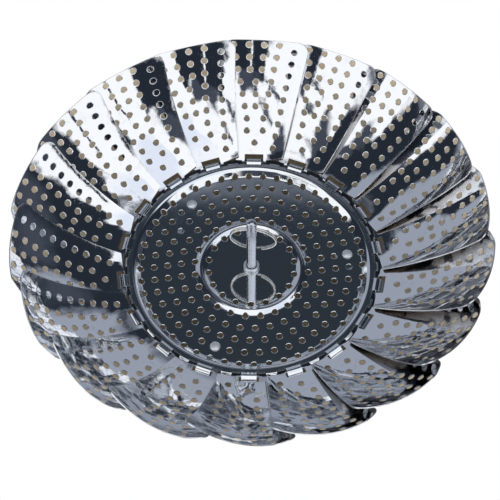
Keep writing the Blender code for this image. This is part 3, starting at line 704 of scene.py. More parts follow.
def long_edge(base, tip, along):
    """How far aside of the slot's middle a long edge lies."""
    share = along / PETAL_REACH
    return base + (tip - base) * share + EDGE_CROWN * np.sin(pi * share)


def leading(along):
    """The petal's clockwise edge, which lies on its neighbour."""
    return float(long_edge(LEADING_BASE, LEADING_TIP, along))


def trailing(along):
    """The petal's other edge, under its other neighbour."""
    return -float(long_edge(TRAILING_BASE, TRAILING_TIP, along))


def petal_outline():
    """The petal's blank, from the lip of its hinge round to the tip and back."""
    lip = LIP_WIDTH / 2
    steps = [PETAL_REACH * step / LONG_EDGE_PARTS for step in LONG_EDGE_STEPS]
    corners = [(-lip, -LIP_BEND - LIP_HEIGHT, 0), (lip, -LIP_BEND - LIP_HEIGHT, 0)]
    corners += [(lip, -INNER_EDGE, 0), (leading(LEADING_START), LEADING_START, BASE_CORNER)]
    corners += [(leading(along), along, 0) for along in steps[1:]]
    corners.append((leading(TIP_LEVEL), TIP_LEVEL, TIP_CORNER))
    middle = (leading(TIP_LEVEL) + trailing(TIP_LEVEL)) / 2
    corners.append((middle, TIP_LEVEL + TIP_CROWN, 0))
    corners.append((-SLANT_START, TIP_LEVEL, SLANT_BEND))
    corners.append((trailing(TIP_LEVEL), TIP_LEVEL - SLANT_DROP, TRAILING_TIP_CORNER))
    corners += [(trailing(along), along, 0) for along in reversed(steps)]
    corners += [(trailing(-INNER_EDGE), -INNER_EDGE, TRAILING_CORNER), (-lip, -INNER_EDGE, 0)]
    return divided(rounded(corners, PETAL_CORNER_STEP), EDGE_STEP)


def petal_holes():
    """The middle of each punched hole in a petal."""
    places = []
    for row, count in enumerate(ROW_HOLES):
        along = LAST_ROW + (len(ROW_HOLES) - 1 - row) * ROW_PITCH
        middle = (ROW_RIGHT_SHARE - ROW_LEFT_SHARE) * along / 2
        spread = max((ROW_RIGHT_SHARE + ROW_LEFT_SHARE) * along, LEAST_SPREAD)
        for place in range(count):
            share = place / (count - 1) - 0.5 if count > 1 else 0
            places.append((middle + spread * share, along))
        edge_along = along - ROW_PITCH / 2
        places.append((COLUMN_BASE + COLUMN_SHARE * edge_along, edge_along))
    return places


def folded(distance, radius, turn):
    """A sheet's way past a fold: how far it goes on, and how far it turns aside. The distance is
    taken from the sharp corner, which the fold's arc rounds off."""
    reach = radius * tan(turn / 2)
    arc = np.clip((distance + reach) / (2 * reach), 0, 1) * turn
    past = np.maximum(distance - reach, 0)
    before = np.minimum(distance, -reach)
    forward = before + radius * np.sin(arc) + past * cos(turn)
    return forward, radius * (1 - np.cos(arc)) + past * sin(turn)


def petal_form(across, along):
    """A point of the petal's blank where pressing puts it, from the middle of its hinge."""
    radius, height, slope = petal_profile(np.maximum(along, -LIP_BEND))
    forward, aside = folded(-LIP_BEND - along, LIP_FOLD, pi / 2 - LIP_SLOPE)
    near = along < LIP_BEND
    bent_radius = HINGE_RADIUS - forward * cos(LIP_SLOPE) + aside * sin(LIP_SLOPE)
    bent_height = LIP_RISE - forward * sin(LIP_SLOPE) - aside * cos(LIP_SLOPE)
    sharp = np.minimum(-LIP_BEND - along, 0)
    sharp_radius = HINGE_RADIUS - sharp * cos(LIP_SLOPE)
    sharp_height = LIP_RISE - sharp * sin(LIP_SLOPE)
    lift = petal_lift(across, along)
    lift = lift - hole_roll(np.stack([across, along], 1), PETAL_HOLES, PETAL_DISH_DEPTH)
    radius = radius + np.where(near, bent_radius - sharp_radius, 0) - lift * np.sin(slope)
    height = height + np.where(near, bent_height - sharp_height, 0) + lift * np.cos(slope)
    return np.stack([across, radius - HINGE_RADIUS, SLOT_LEVEL + height - HINGE_LEVEL], 1)


PETAL_HOLES = np.array(petal_holes())


def petals():
    """The eighteen petals, alike, each on its hinge."""
    slot = SLOT_WIDTH / 2
    inner = -LIP_BEND - SLOT_IN_LIP
    window = np.array([(-slot, inner), (slot, inner), (slot, SLOT_OUTER), (-slot, SLOT_OUTER)])
    window = divided(window, WINDOW_STEP)
    lip_rows = [-LIP_BEND + offset for offset in LIP_ROWS]
    lip_columns = [side * (slot + LIP_WIDTH / 2) / 2 for side in (-1, 1)]
    bend_points = [(column, row) for row in lip_rows for column in lip_columns]
    fill = np.concatenate([honeycomb(*PETAL_GRID), bend_points])
    flat = blank(petal_outline(), [window], PETAL_HOLES, fill, PETAL_SPACE)
    mesh = pressed_mesh("petal", flat, petal_form, PETAL_SHEET, PETAL_STEEL)
    for number in range(PETAL_COUNT):
        azimuth = pi / 2 - number * PETAL_STEP
        node = f"petal_{number + 1:02d}"
        hinge = Vector((HINGE_RADIUS * cos(azimuth), HINGE_RADIUS * sin(azimuth), HINGE_LEVEL))
        place = Matrix.Translation(hinge) @ Matrix.Rotation(azimuth - pi / 2, 4, "Z")
        fit(mesh, place, node, node)


def mark_places(mesh, places):
    """Keep where each of a mesh's points lies on its flat sheet, for its finish."""
    kept = mesh.attributes.new("sheet_place", "FLOAT_VECTOR", "POINT")
    kept.data.foreach_set("vector", np.asarray(places, np.float32).ravel())


def fit(mesh, place, body, node):
    """A piece made of a mesh put in its place, which rides on its body and stands for its node. Its
    finish is shifted, so that no two pieces are marked alike."""
    mesh = mesh.copy()
    mesh.transform(place)
    count = len(mesh.vertices)
    if "sheet_place" not in mesh.attributes:
        mark_places(mesh, [vertex.co for vertex in mesh.vertices])
    places = np.zeros(count * 3, np.float32)
    kept = mesh.attributes["sheet_place"].data
    kept.foreach_get("vector", places)
    number = sorted(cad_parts).index(node)
    shift = np.array(MARK_SHIFT, np.float32) * number
    kept.foreach_set("vector", (places.reshape(count, 3) + shift).ravel())
    mesh.name = f"bright_{node}"
    piece = bpy.data.objects.new(f"bright_{node}", mesh)
    bpy.context.scene.collection.objects.link(piece)
    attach(piece, body)
    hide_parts(node)


# ---------------------------------------------------------------- base plate


def plate_height(radius):
    """Height of the plate's middle: floor, bead round the post, slope and shelf."""
    bead = np.cos(pi / 2 * np.minimum(np.abs(radius - BEAD_RADIUS) / BEAD_HALF_WIDTH, 1)) ** 2
    rise = soft_ramp(radius - RIM_FOOT_RADIUS, RIM_FOOT_BEND)
    rise = rise - soft_ramp(radius - SHELF_RADIUS, SHELF_BEND)
    return FLOOR_MIDDLE + BEAD_HEIGHT * bead + SHELF_RISE * rise / (SHELF_RADIUS - RIM_FOOT_RADIUS)


LUG_ROOT = sqrt((SHELF_EDGE_RADIUS - LUG_INSET) ** 2 - (LUG_WIDTH / 2) ** 2)


def lug_path():
    """Radius and height of a lug's middle from its root on the shelf, round the petal's bar."""
    bar = hypot(LIP_HEIGHT - SLOT_IN_LIP, PETAL_SHEET) / 2
    curl = bar + RUNNING_GAP + PLATE_SHEET / 2
    turns = np.linspace(LUG_START, LUG_END, LUG_POINTS)
    round_parts = np.cos(turns), np.sin(turns)
    out, up = (np.sign(part) * np.abs(part) ** LUG_FLATNESS for part in round_parts)
    out, up = LUG_BULGE + (curl + LUG_BULGE) * out, curl * up
    c, s = cos(LUG_TILT), sin(LUG_TILT)
    arc = np.stack([HINGE_RADIUS + out * c + up * s, HINGE_LEVEL - out * s + up * c], 1)
    start = np.array([LUG_ROOT, FLOOR_MIDDLE + SHELF_RISE])
    reach = float(np.hypot(*(arc[0] - start)))
    share = np.linspace(0, 1, LUG_RISE_POINTS)[:-1, None]
    leave, meet = np.array([reach, 0]), reach * unit(arc[1] - arc[0])
    rise = (2 * share ** 3 - 3 * share ** 2 + 1) * start
    rise = rise + (share ** 3 - 2 * share ** 2 + share) * leave
    rise = rise + (3 * share ** 2 - 2 * share ** 3) * arc[0] + (share ** 3 - share ** 2) * meet
    return np.concatenate([rise, arc])


LUG_PATH = lug_path()
LUG_LENGTHS = np.concatenate([[0], np.cumsum(np.hypot(*np.diff(LUG_PATH, axis=0).T))])
LUG_LENGTH = float(LUG_LENGTHS[-1])


def spoke_frame(radius, azimuth, step, offset):
    """How far out along the nearest of the evenly set spokes points lie, how far aside of it, and
    that spoke."""
    turn = (azimuth - offset + step / 2) % step - step / 2
    return radius * np.cos(turn), radius * np.sin(turn), azimuth - turn


def plate_form(x, y):
    """A point of the plate's blank where pressing and curling put it."""
    radius, azimuth = np.hypot(x, y), np.arctan2(y, x)
    height = plate_height(radius) - hole_roll(np.stack([x, y], 1), PLATE_HOLES, PLATE_DISH_DEPTH)
    forward, drop = folded(radius - SHELF_EDGE_RADIUS - TAB_BEND, TAB_BEND, TAB_SLOPE)
    tab = radius > SHELF_EDGE_RADIUS
    shrunk = (SHELF_EDGE_RADIUS + TAB_BEND + forward) / np.maximum(radius, WELD)
    shrunk = np.where(tab, shrunk, 1)
    height = np.where(tab, height - drop, height)
    flat = np.stack([x * shrunk, y * shrunk, height], 1)
    out, aside, spoke = spoke_frame(radius, azimuth, PETAL_STEP, pi / 2)
    along = out - LUG_ROOT
    level = np.interp(along, LUG_LENGTHS, LUG_PATH[:, 1])
    out = np.interp(along, LUG_LENGTHS, LUG_PATH[:, 0])
    out = np.where(along < 0, LUG_ROOT + along, out)
    c, s = np.cos(spoke), np.sin(spoke)
    lug = np.stack([out * c - aside * s, out * s + aside * c, level], 1)
    curled = (along > -WELD) & (np.abs(aside) < (LUG_WIDTH + LUG_RELIEF) / 2)
    return np.where(curled[:, None], lug, flat)


def spoke_point(out, aside, spoke):
    """A flat point from how far it lies out along a spoke and aside of it."""
    return (out * cos(spoke) - aside * sin(spoke), out * sin(spoke) + aside * cos(spoke))


def on_shelf_edge(aside):
    """How far out the shelf's edge is at a distance aside of a spoke."""
    return sqrt(SHELF_EDGE_RADIUS ** 2 - aside ** 2)


def plate_outline():
    """The rim of the blank: a straight lug and a short tab in turn."""
    corners = []
    half, notch, tab = LUG_WIDTH / 2, LUG_WIDTH / 2 + LUG_RELIEF, TAB_WIDTH / 2
    sideways = np.linspace(0, LUG_LENGTH, LUG_SIDE_POINTS)
    for number in range(PETAL_COUNT):
        spoke = pi / 2 + number * PETAL_STEP
        corners.append((*spoke_point(on_shelf_edge(notch), -notch, spoke), 0))
        corners.append((*spoke_point(LUG_ROOT, -notch, spoke), 0))
        corners += [(*spoke_point(LUG_ROOT + out, -half, spoke), 0) for out in sideways]
        corners += [(*spoke_point(LUG_ROOT + out, half, spoke), 0) for out in sideways[::-1]]
        corners.append((*spoke_point(LUG_ROOT, notch, spoke), 0))
        corners.append((*spoke_point(on_shelf_edge(notch), notch, spoke), 0))
        spoke += PETAL_STEP / 2
        inner, outer = on_shelf_edge(tab), on_shelf_edge(tab) + TAB_REACH
        corners.append((*spoke_point(inner, -tab, spoke), 0))
        corners.append((*spoke_point(outer, -tab, spoke), TAB_CORNER))
        corners.append((*spoke_point(outer, tab, spoke), TAB_CORNER))
        corners.append((*spoke_point(inner, tab, spoke), 0))
    return divided(rounded(corners, RIM_CORNER_STEP), EDGE_STEP)


def plate_holes():
    """The middles of the punched holes, and of the three rivets' bores, in their rings."""
    punched, riveted = [], []
    for ring in range(RING_COUNT):
        radius = FIRST_RING_RADIUS + ring * RING_PITCH
        count = FIRST_RING_HOLES + ring * ADDED_HOLES
        for place in range(count):
            azimuth = RIVET_AZIMUTH + tau * place / count
            rivet = ring == RIVET_RING and place % (count // LEG_COUNT) == 0
            (riveted if rivet else punched).append((radius * cos(azimuth), radius * sin(azimuth)))
    return np.array(punched), riveted


PLATE_HOLES, RIVET_PLACES = plate_holes()


def rings_of_points(pairs):
    """Points on rings about the post: each pair is a radius and how much finer it is."""
    points = []
    for number, (radius, fineness) in enumerate(pairs):
        count = max(LEAST_RING_POINTS, round(tau * radius * fineness / PLATE_GRID_STEP))
        points.append(circle(radius, count, start=number * GRID_TURN))
    return np.concatenate(points)


def base_plate():
    """The plate: one stamping with its floor, bead, stepped rim, curled lugs and tabs."""
    radii = []
    for start, end, step, fineness in PLATE_RINGS:
        radii += [(radius, fineness) for radius in np.arange(start, end, step)]
    for corner, bend in ((RIM_FOOT_RADIUS, RIM_FOOT_BEND), (SHELF_RADIUS, SHELF_BEND)):
        radii += [(corner + share * bend, BEND_FINENESS) for share in BEND_STEPS]
    radii += [(RIM_FOOT_RADIUS + SLOPE_RING, BEND_FINENESS), (SHELF_RADIUS + SHELF_RING, 1)]
    fill = [rings_of_points(radii)]
    for number in range(PETAL_COUNT):
        for share, width, start, reach, lines in (
            (0, LUG_WIDTH, LUG_ROOT, LUG_LENGTH, LUG_LINES),
            (0.5, TAB_WIDTH, on_shelf_edge(TAB_WIDTH / 2), TAB_REACH, TAB_LINES),
        ):
            spoke = pi / 2 + (number + share) * PETAL_STEP
            asides = np.linspace(-width / 2, width / 2, LINE_POINTS)[1:-1]
            for out in np.linspace(0, reach, lines, endpoint=False):
                fill.append([spoke_point(start + out, aside, spoke) for aside in asides])
    windows = [circle(POST_BORE, POST_BORE_SIDES)]
    windows += [circle(RIVET_BORE, BORE_SIDES, middle) for middle in RIVET_PLACES]
    flat = blank(plate_outline(), windows, PLATE_HOLES, np.concatenate(fill), PLATE_SPACE)
    mesh = pressed_mesh("plate", flat, plate_form, PLATE_SHEET, PLATE_STEEL)
    fit(mesh, Matrix.Identity(4), "basket", "base_plate")


# ---------------------------------------------------------------- turned pieces, ring and nut


def turned_mesh(name, profile, steel, steps, bored=False):
    """A turned piece from its profile, down the outside and, if bored, up the bore."""
    rings, vertices, faces = [], [], []
    for radius, height in profile:
        if radius < WELD:
            rings.append([len(vertices)] * steps)
            vertices.append((0, 0, height))
            continue
        rings.append(list(range(len(vertices), len(vertices) + steps)))
        vertices += [(x, y, height) for x, y in circle(radius, steps)]
    pairs = list(zip(rings, rings[1:]))
    if bored:
        pairs.append((rings[-1], rings[0]))
    for upper, lower in pairs:
        for i in range(steps):
            j = (i + 1) % steps
            faces.append(list(dict.fromkeys((upper[i], lower[i], lower[j], upper[j]))))
    mesh = bpy.data.meshes.new(name)
    mesh.from_pydata(vertices, [], faces)
    return finished(mesh, steel)


def finished(mesh, steel, crease=CREASE):
    """A mesh smoothed between its sharp edges, in its steel."""
    mesh.polygons.foreach_set("use_smooth", [True] * len(mesh.polygons))
    mesh.set_sharp_from_angle(angle=crease)
    mesh.materials.append(steel)
    return mesh


def arc_profile(radius, height, corner, turn_from, turn_to, steps):
    """A rounded corner of a turned profile: its middle's radius and height, and its own radius."""
    turns = np.linspace(turn_from, turn_to, steps + 1)
    return [(radius + corner * cos(t), height + corner * sin(t)) for t in turns]


def center_post():
    """The post: a domed rod with a cross hole for the ring, on a thinner stem."""
    tail = FLOOR_CLEARANCE - RUNNING_GAP - NUT_HEIGHT - STEM_TAIL
    turns = np.linspace(0, pi / 2, POST_DOME_POINTS)
    profile = [(POST_RADIUS * sin(t), POST_TOP - POST_DOME * (1 - cos(t))) for t in turns]
    foot = FLOOR_TOP + RUNNING_GAP
    profile += [(POST_RADIUS, CROSS_HOLE_LEVEL - CROSS_HOLE_ROOM), (POST_RADIUS, foot)]
    profile += [(STEM_RADIUS, foot), (STEM_RADIUS, tail + CHAMFER)]
    profile += [(STEM_RADIUS - CHAMFER, tail), (0, tail)]
    rod = bpy.data.objects.new("rod", turned_mesh("post", profile, POST_STEEL, POST_SIDES))
    profile = [(0, DRILL_REACH), (CROSS_HOLE_RADIUS, DRILL_REACH)]
    profile += [(CROSS_HOLE_RADIUS, -DRILL_REACH), (0, -DRILL_REACH)]
    drill = bpy.data.objects.new("drill", turned_mesh("drill", profile, POST_STEEL, DRILL_SIDES))
    for thing in (rod, drill):
        bpy.context.scene.collection.objects.link(thing)
    # The drill's sides are turned by half of one, as level ones would leave slivers
    place = Matrix.Translation((0, 0, CROSS_HOLE_LEVEL)) @ Matrix.Rotation(pi / 2, 4, "Y")
    drill.matrix_world = place @ Matrix.Rotation(pi / DRILL_SIDES, 4, "Z")
    boolean = rod.modifiers.new("Cross hole", "BOOLEAN")
    boolean.object = drill
    boolean.solver = "EXACT"
    view = bpy.context.evaluated_depsgraph_get()
    mesh = bpy.data.meshes.new_from_object(rod.evaluated_get(view))
    for thing in (rod, drill):
        bpy.data.objects.remove(thing)
    mesh.set_sharp_from_angle(angle=CREASE)
    fit(mesh, Matrix.Identity(4), "basket", "center_post")


def post_collar():
    """The round collar at the foot of the post, with a rounded top edge."""
    foot = FLOOR_TOP + RUNNING_GAP
    top = foot + COLLAR_HEIGHT
    inner = POST_RADIUS + RUNNING_GAP
    corner = COLLAR_RADIUS - COLLAR_ROUND
    level = top - COLLAR_ROUND
    profile = [(inner, top)]
    profile += arc_profile(corner, level, COLLAR_ROUND, pi / 2, COLLAR_UNDERCUT, COLLAR_STEPS)
    profile += [(COLLAR_FOOT_RADIUS, foot), (inner, foot)]
    mesh = turned_mesh("collar", profile, COLLAR_STEEL, POST_SIDES, bored=True)
    fit(mesh, Matrix.Identity(4), "basket", "post_collar")


def post_nut():
    """The hexagon nut under the plate, chamfered at both faces."""
    top = FLOOR_CLEARANCE - RUNNING_GAP
    bottom = top - NUT_HEIGHT
    inner = STEM_RADIUS + RUNNING_GAP
    levels = [top, top - CHAMFER, bottom + CHAMFER, bottom]
    shares = [NUT_CHAMFER_SHARE, 1, 1, NUT_CHAMFER_SHARE]
    vertices, faces = [], []
    for level, share in zip(levels, shares):
        vertices += [(x, y, level) for x, y in circle(NUT_WIDTH / 2 * share, NUT_SIDES)]
    last = len(vertices) - NUT_SIDES
    for upper in range(0, last, NUT_SIDES):
        lower = upper + NUT_SIDES
        for i in range(NUT_SIDES):
            j = (i + 1) % NUT_SIDES
            faces.append((upper + i, lower + i, lower + j, upper + j))
    upper = len(vertices)
    lower = upper + POST_BORE_SIDES
    for level in (top, bottom):
        vertices += [(x, y, level) for x, y in circle(inner, POST_BORE_SIDES)]
    for i in range(POST_BORE_SIDES):
        j = (i + 1) % POST_BORE_SIDES
        faces.append((upper + j, lower + j, lower + i, upper + i))
    each = POST_BORE_SIDES // NUT_SIDES
    for ring, corner, flip in ((upper, 0, False), (lower, last, True)):
        for i in range(POST_BORE_SIDES):
            j = (i + 1) % POST_BORE_SIDES
            flats = dict.fromkeys((corner + i // each, corner + (i + 1) // each % NUT_SIDES))
            face = [ring + i, *flats, ring + j]
            faces.append(face[::-1] if flip else face)
    mesh = bpy.data.meshes.new("nut")
    mesh.from_pydata(vertices, [], faces)
    fit(finished(mesh, FASTENER_STEEL), Matrix.Identity(4), "basket", "post_nut")


def ring_point(turn):
    """A point of the split ring's wire, from the cross hole, with the ring hung straight down."""
    beside = (RING_WIRE + RING_TURN_GAP) / 2
    step = smooth((turn - RING_TURNS / 2) / CROSSOVER_SHARE + 0.5)
    azimuth = tau * turn - pi / 2
    radius = RING_DIAMETER / 2
    return Vector((radius * cos(azimuth), beside * (2 * step - 1), radius * sin(azimuth) - radius))


def wire_mesh(name, path, radius, steel):
    """A round wire along a path, with rounded ends."""
    sides = WIRE_SIDES
    sections = []
    for number, here in enumerate(path):
        ahead = path[min(number + 1, len(path) - 1)] - path[max(number - 1, 0)]
        ahead.normalize()
        side = ahead.cross(Vector((0, 1, 0))).normalized()
        sections.append((here, radius, side, side.cross(ahead)))
    caps = []
    for end, beside in ((0, 1), (-1, -2)):
        out, ways = (path[end] - path[beside]).normalized(), sections[end][2:]
        turns = [(radius * cos(t), out * radius * sin(t)) for t in CAP_TURNS]
        caps.append([(path[end] + offset, reach, *ways) for reach, offset in turns])
    sections = caps[0] + sections + caps[1][::-1]
    vertices, faces = [], []
    for middle, reach, side, up in sections:
        for x, y in circle(reach, sides):
            vertices.append(middle + side * x + up * y)
    last = len(vertices) - sides
    for first in range(0, last, sides):
        for i in range(first, first + sides):
            j = first + (i + 1 - first) % sides
            faces.append((i, j, j + sides, i + sides))
    faces.append(list(range(sides))[::-1])
    faces.append([last + i for i in range(sides)])
    mesh = bpy.data.meshes.new(name)
    mesh.from_pydata(vertices, [], faces)
    return finished(mesh, steel, WIRE_CREASE)


def lifting_ring():
    """The split ring: two turns of wire side by side, hanging behind the post from its hole."""
    first, last = CROSSOVER_SHARE / 2, RING_TURNS - CROSSOVER_SHARE / 2
    steps = range(WIRE_STEPS + 1)
    path = [ring_point(first + (last - first) * step / WIRE_STEPS) for step in steps]
    mesh = wire_mesh("ring", path, RING_WIRE / 2, RING_STEEL)
    stand_off = POST_RADIUS + RUNNING_GAP + RING_WIRE + RING_TURN_GAP / 2
    place = Matrix.Translation((0, 0, CROSS_HOLE_LEVEL)) @ Matrix.Rotation(-RING_YAW, 4, "Z")
    place = place @ Matrix.Rotation(asin(stand_off / RING_DIAMETER), 4, "X")
    place = place @ Matrix.Rotation(-RING_ROLL, 4, "Y")
    fit(mesh, place, "lifting_ring", "lifting_ring")


# ---------------------------------------------------------------- legs


def bracket_form(x, y):
    """The bracket's blank folded: a base under the floor, and two ears down to the pin."""
    base = PIN_DROP + BRACKET_SHEET / 2
    forward, drop = folded(np.abs(x) - EAR_BEND, SHEET_FOLD, pi / 2)
    return np.stack([np.sign(x) * (EAR_BEND + forward), y, base - drop], 1)


def bracket_mesh():
    """One bracket, from a blank with a rounded base, two ears and their bores."""
    pin = EAR_BEND + PIN_DROP + BRACKET_SHEET / 2
    back, front = -PIN_OFFSET - BRACKET_LENGTH / 2, -PIN_OFFSET + BRACKET_LENGTH / 2
    ear = EAR_WIDTH / 2
    right = [(EAR_BEND, back, BRACKET_CORNER), (EAR_BEND, -ear, 0)]
    tip = pin + EAR_RADIUS
    right += [(tip, -EAR_RADIUS, EAR_RADIUS), (tip, EAR_RADIUS, EAR_RADIUS)]
    right += [(EAR_BEND, ear, 0), (EAR_BEND, front, BRACKET_CORNER)]
    outline = divided(rounded(both_sides(right), FOLDED_CORNER_STEP), BRACKET_EDGE_STEP)
    windows = [circle(RIVET_BORE, BORE_SIDES, (0, -PIN_OFFSET)), *pin_bores(pin)]
    flat = blank(outline, windows, [], fold_fill(EAR_BEND, *BRACKET_GRID), FOLDED_SPACE)
    return pressed_mesh("bracket", flat, bracket_form, BRACKET_SHEET, LEG_STEEL)


def both_sides(right):
    """The corners of a blank that is alike left and right, from those of its right side."""
    return right + [(-x, y, radius) for x, y, radius in reversed(right)]


def pin_bores(pin):
    """The outlines of the two bores for a leg's pin."""
    return [circle(PIN_RADIUS + RUNNING_GAP, BORE_SIDES, (side * pin, 0)) for side in (-1, 1)]


def fold_fill(fold, width, depth, pitch, middle):
    """Points inside a folded blank: a grid, and closer lines across its two folds."""
    lines = []
    for row in np.arange(middle[1] - depth / 2, middle[1] + depth / 2, FOLD_ROW_STEP):
        for offset in np.linspace(-SHEET_FOLD, SHEET_FOLD, FOLD_LINES):
            lines += [(side * (fold + offset), row) for side in (-1, 1)]
    return np.concatenate([np.array(lines), honeycomb(width, depth, pitch, middle)])


def leg_form(x, along):
    """The leg's blank folded: a web, a flange at each side and a foot turned out at the end."""
    forward, aside = folded(np.abs(x) - WEB_HALF, FLANGE_FOLD, pi / 2)
    width = np.sign(x) * (WEB_HALF + forward)
    down, out = folded(-LEG_BEND - along, SHEET_FOLD, pi / 2 - LEG_SPLAY)
    return np.stack([width, WEB_OFFSET - aside + out, -LEG_BEND - down], 1)


def leg_mesh():
    """One leg: the flanges carry the eyes for the pin and the heels that meet the bracket."""
    pin = WEB_HALF + WEB_OFFSET
    heel = (PIN_DROP - RUNNING_GAP) / cos(LEG_SPLAY)
    right = [(WEB_HALF, -LEG_BEND - FOOT_LENGTH, FOOT_CORNER), (WEB_HALF, -LEG_BEND, 0)]
    right += [(WEB_HALF, LEG_TOE_RISE - LEG_BEND, 0)]
    right += [(WEB_HALF + LEG_TOE_DEPTH, 2 * LEG_TOE_RISE - LEG_BEND, 0)]
    right += [(pin + EYE_RADIUS, -EYE_LENGTH, 0), (pin + EYE_RADIUS, EYE_RADIUS, EYE_RADIUS)]
    right += [(WEB_HALF + HEEL_WIDTH, heel, 0), (WEB_HALF, heel - WEB_OFFSET * tan(LEG_SPLAY), 0)]
    right += [(WEB_HALF, WEB_TOP, 0)]
    outline = divided(rounded(both_sides(right), FOLDED_CORNER_STEP), LEG_EDGE_STEP)
    fill = [fold_fill(WEB_HALF, *LEG_GRID)]
    for offset in np.linspace(-SHEET_FOLD, SHEET_FOLD, FOLD_LINES):
        fill.append([(x, -LEG_BEND + offset) for x in FOOT_COLUMNS])
    flat = blank(outline, pin_bores(pin), [], np.concatenate(fill), FOLDED_SPACE)
    return pressed_mesh("leg", flat, leg_form, LEG_SHEET, LEG_STEEL)


def pin_mesh():
    """A leg's pin, headed at both ends, outside the bracket's ears."""
    inner = BRACKET_INSIDE / 2 + BRACKET_SHEET + RUNNING_GAP
    outer = inner + PIN_HEAD_HEIGHT
    half = [(0, outer)]
    radius, level = PIN_HEAD_RADIUS - CHAMFER, outer - CHAMFER
    half += arc_profile(radius, level, CHAMFER, pi / 2, 0, CHAMFER_STEPS)
    half += [(PIN_HEAD_RADIUS, inner), (PIN_RADIUS, inner)]
    profile = half + [(radius, -height) for radius, height in reversed(half)]
    return turned_mesh("pin", profile, FASTENER_STEEL, PIN_SIDES)


def rivet_mesh():
    """A leg's rivet: a domed head on the floor, a shank and a flat tail under the bracket."""
    seat = FLOOR_TOP + RUNNING_GAP
    under = FLOOR_CLEARANCE - 2 * RUNNING_GAP - BRACKET_SHEET
    turns = np.linspace(0, pi / 2, RIVET_DOME_POINTS)
    profile = [(RIVET_HEAD_RADIUS * sin(t), seat + RIVET_HEAD_HEIGHT * cos(t)) for t in turns]
    profile += [(RIVET_SHANK_RADIUS, seat), (RIVET_SHANK_RADIUS, under), (RIVET_TAIL_RADIUS, under)]
    bottom = under - RIVET_TAIL_HEIGHT
    radius, level = RIVET_TAIL_RADIUS - CHAMFER, bottom + CHAMFER
    profile += arc_profile(radius, level, CHAMFER, 0, -pi / 2, CHAMFER_STEPS)
    profile += [(0, bottom)]
    return turned_mesh("rivet", profile, RIVET_STEEL, RIVET_SIDES)


def legs():
    """Three legs with their brackets, pins and rivets."""
    shapes = {"leg_bracket": bracket_mesh(), "leg_pin": pin_mesh(), "leg": leg_mesh()}
    turns = {"leg_bracket": Matrix.Identity(4), "leg_pin": Matrix.Rotation(pi / 2, 4, "Y")}
    turns["leg"] = Matrix.Rotation(LEG_SPLAY, 4, "X")
    rivet = rivet_mesh()
    for number in range(1, LEG_COUNT + 1):
        azimuth = RIVET_AZIMUTH + tau * (number - 1) / LEG_COUNT
        c, s = cos(azimuth), sin(azimuth)
        pivot = Matrix.Translation((PIN_CIRCLE * c, PIN_CIRCLE * s, PIN_LEVEL))
        pivot = pivot @ Matrix.Rotation(azimuth - pi / 2, 4, "Z")
        for kind, mesh in shapes.items():
            node = f"{kind}_{number}"
            body = node if kind == "leg" else "basket"
            fit(mesh, pivot @ turns[kind], body, node)
        place = Matrix.Translation((RIVET_RADIUS * c, RIVET_RADIUS * s, 0))
        fit(rivet, place, "basket", f"leg_rivet_{number}")


# ---------------------------------------------------------------- studio


WHITE = (1.08, 1.10, 1.13)
PALE = (0.86, 0.92, 1.04)
LAVENDER = (0.34, 0.375, 0.45)
GREY = (0.15, 0.165, 0.20)
SLATE = (0.060, 0.070, 0.095)
NAVY = (0.020, 0.026, 0.038)
INK = (0.027, 0.036, 0.048)

# The studio as the steel sees it: the middle and half width of an area's azimuth, its lowest and
# highest elevation, how soft its edge is, all in degrees, and its shade. Each lies over those
# before it. The wide areas have wavy edges, as cloths and panels do.
WIDE_AREAS = (
    (96, 62, -2, 31, 3, LAVENDER),
    (124, 28, 20, 48, 2, LAVENDER),
    (-75, 108, 6, 200, 2, WHITE),
    (0, 200, 79, 200, 2, WHITE),
    (-12, 46, 58, 78, 5, PALE),
    (-93, 27, 14, 47, 1.5, NAVY),
    (-97, 19, 45, 56, 2, SLATE),
    (-173, 11, 42, 70, 2.5, SLATE),
    (-136, 15, 43.5, 46.5, 1.2, SLATE),
    (-134, 13, 55.5, 58.5, 1.5, SLATE),
    (18, 33, -8, 53, 2, NAVY),
    (13, 17, 2, 23, 6, SLATE),
    (50, 13, -8, 29, 4, LAVENDER),
    (38, 20, 36, 58, 2, NAVY),
    (164, 14, 4, 74, 2.5, NAVY),
    (146, 12, 48, 60, 2.5, NAVY),
)
NARROW_AREAS = (
    (-99, 1.2, 14, 42, 0.8, WHITE),
    (-34, 1.6, 9, 47, 0.8, NAVY),
    (90, 17, 54.8, 67, 0.8, INK),
    (89, 3.6, 62.4, 66, 0.7, (0.13, 0.135, 0.14)),
    (89, 4.5, 52, 55.0, 0.4, GREY),
)
DAPPLED_AREA = (100, 68, 34, 200, 6)  # high on the far side, mottled light and dark
DEGREES = 180 / pi
HALF_TURN = 180

# Noise of the studio: scale, detail, roughness and distortion, and how many degrees it moves an
# edge or from which value to which it goes from one shade to the next
AZIMUTH_WAVES = (4.0, 3, 0.6)
ELEVATION_WAVES = (4.7, 3, 0.6, 0.4)
AZIMUTH_SWAY = 18
ELEVATION_SWAY = 14
DAPPLES = (7.0, 2, 0.5, 0.6)
GREY_STEP = (0.47, 0.54)
LAVENDER_STEP = (0.60, 0.63)


def area_share(azimuth, elevation, area):
    """How much of a direction lies in an area of the studio, from 0 to 1."""
    middle, half, low, high, soft = area
    beside = abs(azimuth.math("WRAP", azimuth - middle, HALF_TURN, -HALF_TURN))
    share = beside.step(half + soft, half - soft) * elevation.step(low - soft, low + soft)
    return share * elevation.step(high + soft, high - soft)


